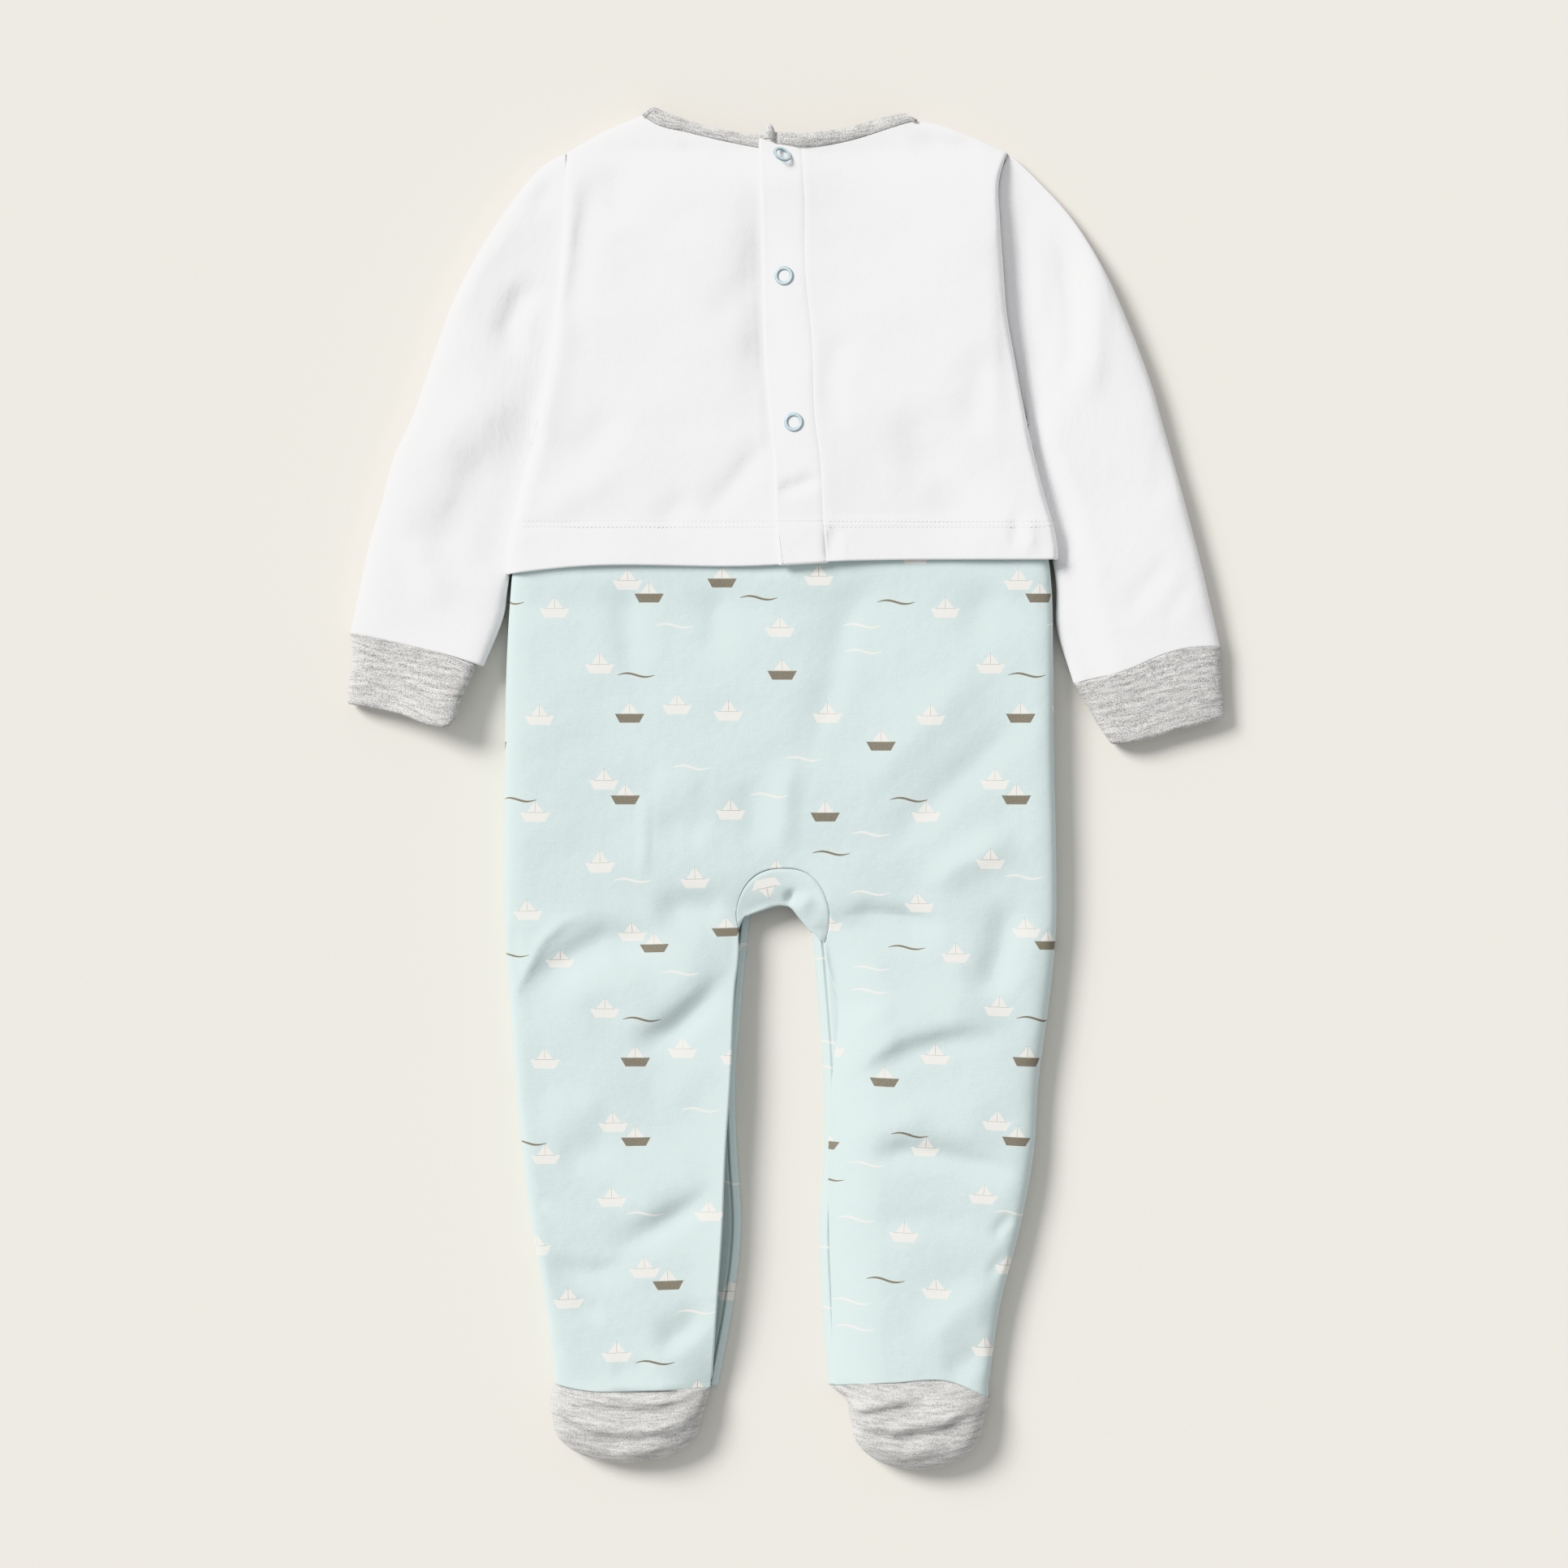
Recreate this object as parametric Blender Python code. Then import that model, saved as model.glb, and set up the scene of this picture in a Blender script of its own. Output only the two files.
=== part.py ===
"""A footed baby sleepsuit, size 9 to 12 months, laid flat on its front with its back up.

A white mock top with a back placket hangs over pale-blue trousers with feet. The garment is a
flattened tube: a lower layer (the front) lies on the floor, an upper layer (the back) stands
over it in a low crown, and the two meet in rolled side seams. X runs across the garment, Y from
the toes (-) to the neck (+), Z up from the floor. Tables and sizes are in millimetres.
"""
import math

import bpy
import numpy as np

MM = 0.001

# ---- cloth ----
JERSEY = 1.2            # wall of one layer of jersey
SLEEVE_JERSEY = 1.3     # wall of the sleeves
FOLDED = 2.0            # wall of a folded band: cuffs, hem, placket
BINDING = 1.6           # wall of the neck binding
BAND = 2.4              # height of the inner-leg bands, several layers
GAP = 0.3               # between two pieces at a seam
ARMHOLE_GAP = 0.55      # the same on the tightly curved armholes

# ---- how the cloth lies ----
SEAM_Z = 5.5            # height of the side seams above the floor
ROLL = 14.0             # width over which the upper layer rises from a side seam
CURL = 8.0              # width over which the lower layer comes down from a side seam
RISE = 24.0             # width over which the back rises from a free inner-leg edge
ARMHOLE_SHARE = 0.5     # height of the armhole seams, as a share of the crown
UPPER_CELL = 11.5       # spacing of the points of an upper layer
LOWER_CELL = 17.0       # spacing of the points of a lower layer
LONG_CELL = 1.2         # how much longer the trousers' cells are along Y
MID_CELL = 14.0         # spacing of the white front's rows and round its neckline
NECK_ENDS = (0.0, 1.5, 5.0, 11.0, 20.0)     # stations at the front neckline's ends
UPPER_RING_CELL = 0.2   # spacing across a sleeve or cuff, as a share of its width
LOWER_RING_CELL = 0.33
BINDING_ROWS = 3        # points across the neck binding
BAND_COLUMNS = 3        # points across an inner-leg band
GUSSET_ROWS = 4         # points down the gusset
OUTLINE_SIDE = 8        # points down a foot's side, for the distance from its edge
OUTLINE_TOE = 15        # points round its toe
SHARP = 50.0            # edges that turn more than this, in degrees, stay crisp

# ---- hem, placket, binding ----
HEM_DEPTH = 19.0        # turned hem of the white top
HEM_STEP = 0.8          # how far the second layer of the hem stands out
HEM_RAMP = 1.0          # half the width of that step
FRONT_HEM_RISE = 1.0    # how much shorter the white front is
TROUSERS_TOP = 123.0    # upper edge of the trousers, under the white hem
UNDER_HEM = 2.4         # height of the trousers' front above the floor, on the white front
HEM_EDGE = 100.0        # lowest line of the white top
PLACKET_LIFT = 2.6      # outer face of the placket above the left back
PLACKET_EASE = 20.0     # width over which the right back comes down from the placket
PLACKET_COLUMNS = 4     # points across the placket
FRONT_NECK_DROP = 50.0  # depth of the front neckline below its ends
FRONT_NECK_SIDES = 2.6  # how square the front neckline's sides are
FRONT_NECK_BASE = 0.6   # how flat its bottom is
LEFT_BINDING_END = -2.0     # where the binding ends on the left back
RIGHT_BINDING_END = -7.0    # where it ends on the placket
BINDING_CELL = 0.1      # spacing along the binding, as a share of its width
LEG_BAND_WIDTH = 16.0   # inner-leg bands
BACK_LEG_WIDTH = 106.0  # usual width of a leg of the back
FRONT_LEG_WIDTH = 92.0  # usual width of a leg of the front
CROTCH_LEAN = 25.0      # length over which a leg's edge leaves the gusset's corner
CROTCH_MARGIN = 5.0     # the legs' inner edges start this near above the gusset's corner
ARCH_SPREAD = 1.5       # how late the trousers' middle columns spread into the arch
FOOT_SEAM_SIDE = 0.24   # from the ankle seam's line to each piece

# ---- ring snaps ----
SNAP_RADIUS = 3.7       # middle of the ring's wall
SNAP_WIRE = 0.95        # half the ring's wall
SNAP_SLOPE_STEP = 2.0   # reach over which the slope under a snap is taken
SNAP_TURN = 20          # points round a ring
SNAP_SIDES = 6          # points round its wall


def table(columns, rows):
    """A short table as one array for each named column."""
    return dict(zip(columns.split(), np.array(rows, dtype=float).T))


# The white top's side edges and the height of its crown, from the hem up.
TORSO = table("y left right crown", [
    (100, -130.5, 127.0, 15.0),
    (111, -130.9, 126.9, 15.0),
    (123, -128.3, 124.8, 15.0),
    (136, -125.2, 121.0, 15.2),
    (151, -121.4, 117.0, 15.5),
    (167, -116.9, 113.2, 15.5),
    (182, -113.8, 110.0, 15.5),
    (199, -110.4, 107.0, 15.0),
    (222, -107.4, 103.0, 15.0),
    (244, -105.1, 101.3, 14.5),
    (266, -103.6, 99.8, 14.0),
    (285, -103.2, 99.6, 12.5),
    (297, -102.5, 103.2, 9.5),
])

# The trousers' outer side edges, their crown, and the free inner edges of the back's legs.
TROUSERS = table("y left right crown inner_left inner_right", [
    (-279, -107.7, 94.5, 13.0, -35.2, 22.6),
    (-239, -112.3, 100.5, 13.5, -32.5, 21.8),
    (-205, -118.8, 109.3, 14.0, -30.2, 20.7),
    (-170, -122.9, 115.7, 14.0, -28.7, 20.3),
    (-136, -126.4, 118.0, 14.0, -26.4, 22.0),
    (-102, -128.6, 122.6, 14.5, -24.9, 25.0),
    (-68, -131.3, 126.0, 14.5, -22.6, 18.5),
    (-34, -131.7, 126.2, 15.0, -22.0, 17.5),
    (12, -131.3, 125.2, 15.5, -22.0, 17.5),
    (58, -130.5, 124.8, 14.8, -22.0, 17.5),
    (102, -127.7, 123.3, 12.6, -22.0, 17.5),
    (124, -125.2, 120.0, 12.4, -22.0, 17.5),
])

# The outer edge of the front's inner-leg bands.
LEG_BANDS = table("y left right", [
    (-279, -33.0, 21.1),
    (-239, -25.7, 18.1),
    (-205, -22.2, 16.9),
    (-170, -24.1, 19.2),
    (-136, -24.9, 18.8),
    (-102, -22.2, 16.5),
    (-68, -18.9, 13.5),
    (-58, -17.7, 12.4),
])

# The curved seam between the back and the gusset: a rounded arch.
GUSSET_ARCH = dict(x=-1.2, top=-37.0, left_y=-65.2, right_y=-72.0, half=22.0, power=2.5)
# The gusset's free lower edge, at the crotch.
CROTCH_EDGE = table("x y", [
    (-19.6, -59.5),
    (-12.4, -56.8),
    (-1.7, -54.2),
    (2.5, -55.3),
    (6.3, -59.9),
    (12.0, -66.7),
])
# The front's crotch edge, just inside the gusset's, so that the gusset covers it.
FRONT_CROTCH_TOP = -52.0
FRONT_CROTCH_SIDE = -58.0
FRONT_CROTCH_REACH = 0.55   # half the arch of that edge, as a share of half the width there
# Where the trousers' middle columns begin at the top, left and right.
WAIST_CENTRE = (-20.0, 18.0)

# The back neckline from one end of the opening to the other: seam line and free edge.
NECKLINE = table("seam_x seam_y free_x free_y", [
    (-65.5, 313.6, -62.5, 317.6),
    (-62.0, 311.4, -58.0, 316.0),
    (-45.4, 305.7, -43.1, 311.8),
    (-11.2, 298.6, -10.5, 304.6),
    (7.8, 298.5, 7.8, 304.6),
    (26.4, 301.1, 26.4, 307.2),
    (51.0, 308.6, 49.2, 313.4),
    (61.5, 312.0, 56.0, 314.8),
])
SHOULDER_LEFT = table("x y", [(-102.5, 297.0), (-84.2, 307.0), (-65.5, 313.6)])
SHOULDER_RIGHT = table("x y", [(61.5, 312.0), (72.0, 309.8), (85.3, 305.0), (103.2, 297.0)])

# The white top's lower edge.
HEM_LINE = table("x y", [
    (-131, 100.1),
    (-100, 103.4),
    (-12.7, 104.0),
    (19.5, 105.8),
    (127, 107.0),
])

# The placket: its free edge and the seam that joins it to the right back.
PLACKET = table("y free seam", [
    (105.4, -2.7, 18.8),
    (125.2, -4.0, 17.3),
    (154, -4.9, 15.8),
    (172, -6.6, 13.5),
    (207, -9.3, 12.2),
    (243, -10.1, 8.9),
    (278, -10.9, 8.5),
    (299, -11.6, 7.0),
])
UNDERLAP_SHORT = 2.0    # the left back ends this far short of the placket's seam

# The middles of the ring snaps, on the placket.
SNAPS = table("x y", [(-1.9, 294.4), (-1.0, 238.8), (3.5, 170.4)])

# The sleeves' flattened rings, from the armhole to the cuff seam: where the ring's ends lie.
# bow is how much of the armhole's curve the ring still has.
SLEEVE_LEFT = table("outer_x outer_y inner_x inner_y height bow", [
    (-102.8, 297.0, -117.4, 166.6, 10.3, 1.0),
    (-117.2, 287.5, -119.3, 162.1, 11.0, 0.7),
    (-138.5, 259.0, -121.2, 156.4, 12.5, 0.3),
    (-154.1, 230.5, -124.0, 146.9, 13.5, 0.0),
    (-164.7, 202.0, -126.6, 137.4, 13.5, 0.0),
    (-174.6, 173.5, -129.4, 126.0, 13.5, 0.0),
    (-183.4, 154.5, -132.0, 115.3, 13.5, 0.0),
    (-188.7, 134.3, -133.2, 105.1, 13.5, 0.0),
    (-194.4, 115.3, -133.4, 93.7, 13.5, 0.0),
    (-198.9, 94.8, -134.0, 80.4, 13.0, 0.0),
    (-203.5, 73.2, -143.8, 57.9, 11.5, 0.0),
])
SLEEVE_RIGHT = table("outer_x outer_y inner_x inner_y height bow", [
    (103.5, 297.0, 114.0, 166.6, 10.3, 1.0),
    (116.5, 284.8, 116.4, 160.2, 11.0, 0.7),
    (133.6, 266.2, 118.4, 151.8, 12.5, 0.3),
    (147.6, 244.2, 121.2, 142.3, 13.5, 0.0),
    (159.0, 219.5, 124.2, 131.7, 13.5, 0.0),
    (169.7, 191.7, 127.2, 120.3, 13.5, 0.0),
    (176.1, 169.7, 129.2, 108.9, 13.5, 0.0),
    (182.6, 146.9, 129.3, 97.5, 13.5, 0.0),
    (188.3, 126.0, 128.4, 86.1, 13.5, 0.0),
    (194.7, 101.3, 128.0, 72.8, 13.0, 0.0),
    (202.7, 66.3, 134.3, 49.2, 11.5, 0.0),
])
CUFF_LEFT = table("outer_x outer_y inner_x inner_y height", [
    (-203.7, 72.7, -144.1, 57.4, 11.2),
    (-202.6, 61.5, -147.5, 50.0, 11.0),
    (-204.2, 50.0, -151.8, 40.5, 10.5),
    (-205.0, 40.6, -154.1, 31.6, 10.0),
])
CUFF_RIGHT = table("outer_x outer_y inner_x inner_y height", [
    (202.8, 65.8, 134.6, 48.7, 11.2),
    (203.2, 54.5, 139.7, 40.5, 11.0),
    (204.0, 43.6, 145.0, 31.0, 10.5),
    (204.8, 34.4, 151.2, 21.6, 10.0),
])
# How far the cuffs' open ends swell beyond a straight line, across their width.
CUFF_END_LEFT = table("share swell", [(0, 0), (0.2, 0.0), (0.5, 0.6), (0.8, 3.4), (0.93, 2.8), (1, 0)])
CUFF_END_RIGHT = table("share swell", [(0, 0), (0.3, 0.6), (0.6, 1.2), (0.85, 1.6), (1, 0)])

# The feet, from the ankle seam to the toe: outline corners, toe and crown.
FOOT_LEFT = dict(
    seam=table("x y", [(-108, -277.0), (-100, -279.0), (-60, -280.0), (-35, -279.2)]),
    sides=table("v left right", [
        (0.0, -107.7, -35.2),
        (0.35, -109.8, -37.0),
        (0.7, -109.8, -38.5),
        (1.0, -108.6, -40.5),
    ]),
    corner=-296.5, toe=-314.8, crown=14.0)
FOOT_RIGHT = dict(
    seam=table("x y", [(20, -278.6), (51, -276.4), (77, -276.2), (88, -280.5), (96, -284.8)]),
    sides=table("v left right", [
        (0.0, 20.6, 95.6),
        (0.35, 28.5, 93.8),
        (0.7, 29.4, 92.6),
        (1.0, 31.0, 91.4),
    ]),
    corner=-298.5, toe=-317.9, crown=14.0)

# The largest creases: middle, direction in degrees, length, half width, height (- a trough).
FOLDS = table("x y angle length width height", [
    # white back and its armholes
    (-96, 257, 100, 34, 7, -2.2),
    (-22, 235, 100, 46, 9, -1.5),
    (-24, 158, 80, 50, 9, -1.5),
    (-50, 132, 35, 48, 10, -1.5),
    (96, 152, 65, 60, 8, -1.4),
    # sleeves
    (112, 232, 98, 90, 6, -4.0),
    (134, 206, 88, 90, 6, -4.5),
    (141, 198, 82, 92, 6, 2.0),
    (127, 172, 62, 40, 6, -3.5),
    (-128, 218, 62, 24, 5, -2.5),
    (-143, 148, 68, 66, 9, -3.5),
    (-168, 132, 66, 60, 12, 1.5),
    (165, 120, 72, 70, 12, -2.0),
    # hips and seat
    (-105, -90, 28, 60, 6, -4.5),
    (-104, -102, 26, 56, 6, 2.5),
    (-70, -66, 10, 30, 6, -2.5),
    (70, -52, 4, 36, 8, -2.5),
    (104, -62, 58, 30, 7, -3.5),
    (60, -32, 40, 66, 8, 2.0),
    (-70, -4, 88, 44, 7, -1.5),
    (0, -12, 90, 60, 9, 1.8),
    (34, 45, 62, 46, 7, -1.8),
    (-42, 62, 84, 40, 9, -1.8),
    (-78, 66, 92, 44, 9, -1.5),
    # knees and shins
    (-62, -108, 38, 62, 7, -4.0),
    (-60, -116, 36, 54, 6, 2.5),
    (50, -130, 30, 56, 7, -3.5),
    (62, -140, 24, 50, 7, 2.0),
    (-105, -164, 4, 50, 7, -3.0),
    (72, -170, 2, 80, 7, -3.0),
    (-60, -202, 18, 62, 7, -4.0),
    (-54, -208, 22, 44, 6, 2.0),
    (-94, -226, 4, 50, 7, -3.0),
    (60, -222, 8, 60, 8, -2.0),
    (-92, -240, -12, 34, 6, -2.5),
    (-46, -240, 12, 28, 6, -2.5),
    (84, -254, 20, 34, 7, -2.5),
    # feet
    (-72, -289, 2, 60, 4, -2.5),
    (-70, -301, -4, 52, 4, -2.0),
    (58, -289, -12, 56, 4, -2.5),
    (62, -302, -4, 50, 4, -2.0),
])

WHITE = (0.86, 0.86, 0.88)
BLUE = (0.60, 0.79, 0.83)
GREY = (0.56, 0.55, 0.54)
ENAMEL = (0.45, 0.62, 0.68)


# ---- reading the tables ----

def smooth(at, stations, values):
    """The value at a place between a table's rows, on a smooth curve through them."""
    slopes = np.gradient(values, stations)
    at = np.clip(at, stations[0], stations[-1])
    row = np.clip(np.searchsorted(stations, at) - 1, 0, len(stations) - 2)
    step = stations[row + 1] - stations[row]
    t = (at - stations[row]) / step
    return ((1 + 2 * t) * (1 - t) ** 2 * values[row]
            + t * (1 - t) ** 2 * step * slopes[row]
            + t ** 2 * (3 - 2 * t) * values[row + 1]
            + t ** 2 * (t - 1) * step * slopes[row + 1])


def side(sections, column, y):
    return smooth(y, sections["y"], sections[column])


def line(points, x):
    return smooth(x, points["x"], points["y"])


def roll(distance, width=ROLL):
    """0 at a rolled edge, 1 past its width: a quarter of an ellipse."""
    share = np.clip(np.asarray(distance) / width, 0, 1)
    return np.sqrt(1 - (1 - share) ** 2)


def ease(distance, width=RISE):
    """0 at a free edge, 1 past its width: a slope that levels out."""
    share = np.clip(np.asarray(distance) / width, 0, 1)
    return 1 - (1 - share) ** 2


def distance_to(route, x, y):
    """Distance in plan from each point to a route of straight stretches."""
    x = np.asarray(x, dtype=float)
    y = np.asarray(y, dtype=float)
    nearest = np.full(np.broadcast(x, y).shape, np.inf)
    for (x0, y0), (x1, y1) in zip(route[:-1], route[1:]):
        dx = x1 - x0
        dy = y1 - y0
        t = np.clip(((x - x0) * dx + (y - y0) * dy) / (dx * dx + dy * dy), 0, 1)
        nearest = np.minimum(nearest, np.hypot(x - x0 - t * dx, y - y0 - t * dy))
    return nearest


def folds(x, y):
    """What the creases add to the height of the upper layer."""
    total = np.zeros(np.broadcast(x, y).shape)
    for fx, fy, angle, length, width, height in zip(*FOLDS.values()):
        c = math.cos(math.radians(angle))
        s = math.sin(math.radians(angle))
        along = (x - fx) * c + (y - fy) * s
        across = (y - fy) * c - (x - fx) * s
        total += height * np.exp(-(across / width) ** 2 - (2 * along / length) ** 4)
    return total


# ---- how high the cloth lies ----

ARMHOLE_TOP = TORSO["y"][-1]
UNDERARM = SLEEVE_LEFT["inner_y"][0]
ARMHOLE_START = UNDERARM + 1    # an edge point above this is on the armhole
SHOULDERS = (list(zip(SHOULDER_LEFT["x"], SHOULDER_LEFT["y"])),
             list(zip(SHOULDER_RIGHT["x"], SHOULDER_RIGHT["y"])))


def top_edge(x):
    """Upper edge of the white back: shoulder, neckline, shoulder."""
    neck = smooth(x, NECKLINE["seam_x"], NECKLINE["seam_y"])
    left = line(SHOULDER_LEFT, x)
    right = line(SHOULDER_RIGHT, x)
    return np.where(x < NECKLINE["seam_x"][0], left,
                    np.where(x > NECKLINE["seam_x"][-1], right, neck))


def shoulder_distance(x, y):
    return np.minimum(distance_to(SHOULDERS[0], x, y), distance_to(SHOULDERS[1], x, y))


def on_armhole(y):
    """0 below the underarm, 1 up the armhole."""
    return roll(y - UNDERARM)


def hem_band(y_above_hem):
    """1 on the turned hem, 0 above it."""
    return 1 - np.clip((y_above_hem - HEM_DEPTH + HEM_RAMP) / (2 * HEM_RAMP), 0, 1)


def top_back_z(x, y):
    """Outer face of the white back, before the placket lifts it."""
    inside = np.minimum(x - side(TORSO, "left", y), side(TORSO, "right", y) - x)
    edge = ARMHOLE_SHARE * on_armhole(y)
    height = (side(TORSO, "crown", y) - SEAM_Z + folds(x, y))
    share = (edge + (1 - edge) * roll(inside)) * roll(shoulder_distance(x, y))
    hem = HEM_STEP * hem_band(y - line(HEM_LINE, x))
    return SEAM_Z + GAP / 2 + height * share + hem * roll(inside)


def top_front_z(x, y):
    """Under face of the white front: on the floor, curled up to its seams."""
    inside = np.minimum(x - side(TORSO, "left", y), side(TORSO, "right", y) - x)
    sides = (1 - roll(inside, CURL)) * (1 - on_armhole(y))
    shoulders = 1 - roll(shoulder_distance(x, y), CURL)
    return (SEAM_Z - GAP / 2) * np.maximum(sides, shoulders)


def inner_route():
    """The back's free edge: up the left leg, over the crotch, down the right leg."""
    legs = TROUSERS["y"] < GUSSET_ARCH["right_y"] + CROTCH_MARGIN
    left = list(zip(TROUSERS["inner_left"][legs], TROUSERS["y"][legs]))
    crotch = list(zip(CROTCH_EDGE["x"], CROTCH_EDGE["y"]))
    right = list(zip(TROUSERS["inner_right"][legs], TROUSERS["y"][legs]))
    return left + crotch + right[::-1]


INNER_ROUTE = inner_route()


def trousers_back_z(x, y):
    """Outer face of the trousers' back."""
    inside = np.minimum(x - side(TROUSERS, "left", y), side(TROUSERS, "right", y) - x)
    height = side(TROUSERS, "crown", y) - SEAM_Z + folds(x, y) * (y < HEM_EDGE)
    return SEAM_Z + GAP / 2 + height * roll(inside) * ease(distance_to(INNER_ROUTE, x, y))


def under_hem(y):
    """Height of the trousers' front: on the white front, then down to the floor."""
    share = np.clip((y - HEM_EDGE + HEM_DEPTH) / (HEM_DEPTH - 2 * HEM_RAMP), 0, 1)
    return UNDER_HEM * share ** 2 * (3 - 2 * share)


def trousers_front_z(x, y):
    """Under face of the trousers' front."""
    inside = np.minimum(x - side(TROUSERS, "left", y), side(TROUSERS, "right", y) - x)
    base = under_hem(y)
    return base + (SEAM_Z - GAP / 2 - base) * (1 - roll(inside, CURL))


# ---- spacing ----

NEAR = 0.05             # points this close to a line are on it
ANKLE_SLACK = 4.0       # the ankle seams' points lie this near to the table's end

def roll_steps(width, count):
    """Distances from a rolled edge, closer together where it turns."""
    return [width * (1 - math.cos(math.pi / 2 * k / count)) for k in range(count + 1)]


def spaced(length, cell, start=(), end=()):
    """Shares of a length: the start's distances, even steps, the end's distances."""
    first = list(start) or [0.0]
    last = [length - d for d in reversed(list(end) or [0.0])]
    steps = max(1, round((last[0] - first[-1]) / cell))
    middle = list(np.linspace(first[-1], last[0], steps + 1))[1:-1]
    return np.array(first + middle + last) / length


UPPER_ROLL = roll_steps(ROLL, 4)
LOWER_ROLL = roll_steps(CURL, 3)
RING_WIDTH = 60.0       # width of a ring whose ends turn over ROLL and CURL
TUBE_RINGS = 16         # rings of a sleeve
CUFF_RINGS = 4
BOW_EASE = 20.0         # how soon a ring leaves its ends for the armhole's curve


# ---- solids ----

def material(name, colour, roughness, metallic=0.0):
    finish = bpy.data.materials.get(name)
    if finish is None:
        finish = bpy.data.materials.new(name)
        finish.use_nodes = True
        shader = finish.node_tree.nodes["Principled BSDF"]
        shader.inputs["Base Color"].default_value = (*colour, 1.0)
        shader.inputs["Roughness"].default_value = roughness
        shader.inputs["Metallic"].default_value = metallic
    return finish


def grid_quads(rows, columns, closed=False):
    """The quads of a grid of points, numbered row by row; a closed grid's rows are rings."""
    quads = []
    for r in range(rows - 1):
        for c in range(columns if closed else columns - 1):
            d = (c + 1) % columns
            quads.append((r * columns + c, r * columns + d,
                          (r + 1) * columns + d, (r + 1) * columns + c))
    return quads


def face_directions(points, quads, facing):
    """Direction away from the wall at each point of its outer face."""
    total = np.zeros_like(points)
    corners = np.array(quads)
    a, b, c, d = (points[corners[:, k]] for k in range(4))
    normals = np.cross(c - a, d - b)
    for k in range(4):
        np.add.at(total, corners[:, k], normals)
    reference = {"up": np.array((0, 0, 1.0)), "down": np.array((0, 0, -1.0))}.get(facing)
    if reference is None:
        reference = points - points[np.unique(corners)].mean(axis=0)
    if np.sum(total * reference) < 0:
        total = -total
    return total


def unit(vectors):
    return vectors / np.maximum(np.linalg.norm(vectors, axis=1, keepdims=True), 1e-9)


def quad_normal(points, quad):
    a, b, c, d = (points[k] for k in quad)
    return np.cross(c - a, d - b)


def wall(name, points, quads, thickness, facing, finish, level=None, plumb=None, across=None):
    """A cloth wall: an outer face, the same face moved in by the thickness, and its edges.

    At level points (rolled seams) the wall's edge is level, at plumb points (free edges and
    seams within a layer) it is upright. across is a direction for each point that the edge
    must not lean in, or zero.
    """
    raw = face_directions(points, quads, facing)
    inward = raw.copy()
    if plumb is not None:
        inward[plumb] = (0, 0, -1 if facing == "down" else 1)
    if across is not None:
        inward -= np.sum(inward * across, axis=1, keepdims=True) * across
    if level is not None:
        inward[level] = raw[level] * (1, 1, 0)
        if across is not None:
            lean = np.sum(inward[level] * across[level], axis=1, keepdims=True)
            inward[level] -= lean * across[level]
    inner = points - unit(inward) * np.asarray(thickness).reshape(-1, 1)

    used = np.unique(np.array(quads))
    number = {int(old): new for new, old in enumerate(used)}
    outer_faces = [tuple(number[k] for k in quad) for quad in quads]
    count = len(used)
    inner_faces = [tuple(k + count for k in reversed(quad)) for quad in outer_faces]
    edges = {}
    for quad in outer_faces:
        for a, b in zip(quad, quad[1:] + quad[:1]):
            edges[(a, b)] = True
    rims = [(b, a, a + count, b + count) for a, b in edges if (b, a) not in edges]

    mesh = bpy.data.meshes.new(name)
    corners = np.vstack((points[used], inner[used])) * MM
    mesh.from_pydata([tuple(p) for p in corners], [], outer_faces + inner_faces + rims)
    if np.sum(raw[quads[0][0]] * quad_normal(points, quads[0])) < 0:
        mesh.flip_normals()
    mesh.shade_smooth()
    mesh.set_sharp_from_angle(angle=math.radians(SHARP))
    mesh.materials.append(finish)
    piece = bpy.data.objects.new(name, mesh)
    bpy.context.scene.collection.objects.link(piece)
    return piece


def stack(x, y, z):
    return np.stack((x, y, z), axis=-1).reshape(-1, 3)


def edge_mask(shape, **sides):
    """A mask of a grid's first, last, left and right edge points."""
    mask = np.zeros(shape, dtype=bool)
    if sides.get("first"):
        mask[0] = True
    if sides.get("last"):
        mask[-1] = True
    if sides.get("left"):
        mask[:, 0] = True
    if sides.get("right"):
        mask[:, -1] = True
    return mask


def lean_y(shape, first=True, last=True):
    """The Y direction at a grid's first and last rows."""
    across = np.zeros((*shape, 3))
    if first:
        across[0] = (0, 1, 0)
    if last:
        across[-1] = (0, 1, 0)
    return across.reshape(-1, 3)


# ---- the white top ----

def top_panel(u, v, left_edge, right_edge, hem_rise=0.0):
    """Plan of a panel that runs from the shoulder and neckline to the hem."""
    top_left = left_edge(ARMHOLE_TOP)
    top_right = right_edge(ARMHOLE_TOP)
    start_x = top_left + (top_right - top_left) * u
    start_y = top_edge(start_x)
    hem_x = left_edge(HEM_EDGE) + (right_edge(HEM_EDGE) - left_edge(HEM_EDGE)) * u
    hem_y = line(HEM_LINE, hem_x) + hem_rise
    y = start_y[None, :] + (hem_y - start_y)[None, :] * v[:, None]
    x = left_edge(y) + (right_edge(y) - left_edge(y)) * u[None, :]
    return x, y


def torso_left(y):
    return side(TORSO, "left", y)


def torso_right(y):
    return side(TORSO, "right", y)


def placket_seam(y):
    return side(PLACKET, "seam", y)


def placket_free(y):
    return side(PLACKET, "free", y)


def back_rows():
    """Shares down the white back: close at the shoulder, then even, with the hem's step."""
    hem = (0.0, HEM_DEPTH - HEM_RAMP, HEM_DEPTH + HEM_RAMP)
    return spaced(ARMHOLE_TOP - HEM_EDGE, UPPER_CELL, UPPER_ROLL, hem)


def hem_thickness(x, y):
    return JERSEY + (FOLDED - JERSEY) * hem_band(y - line(HEM_LINE, x)).reshape(-1)


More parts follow.
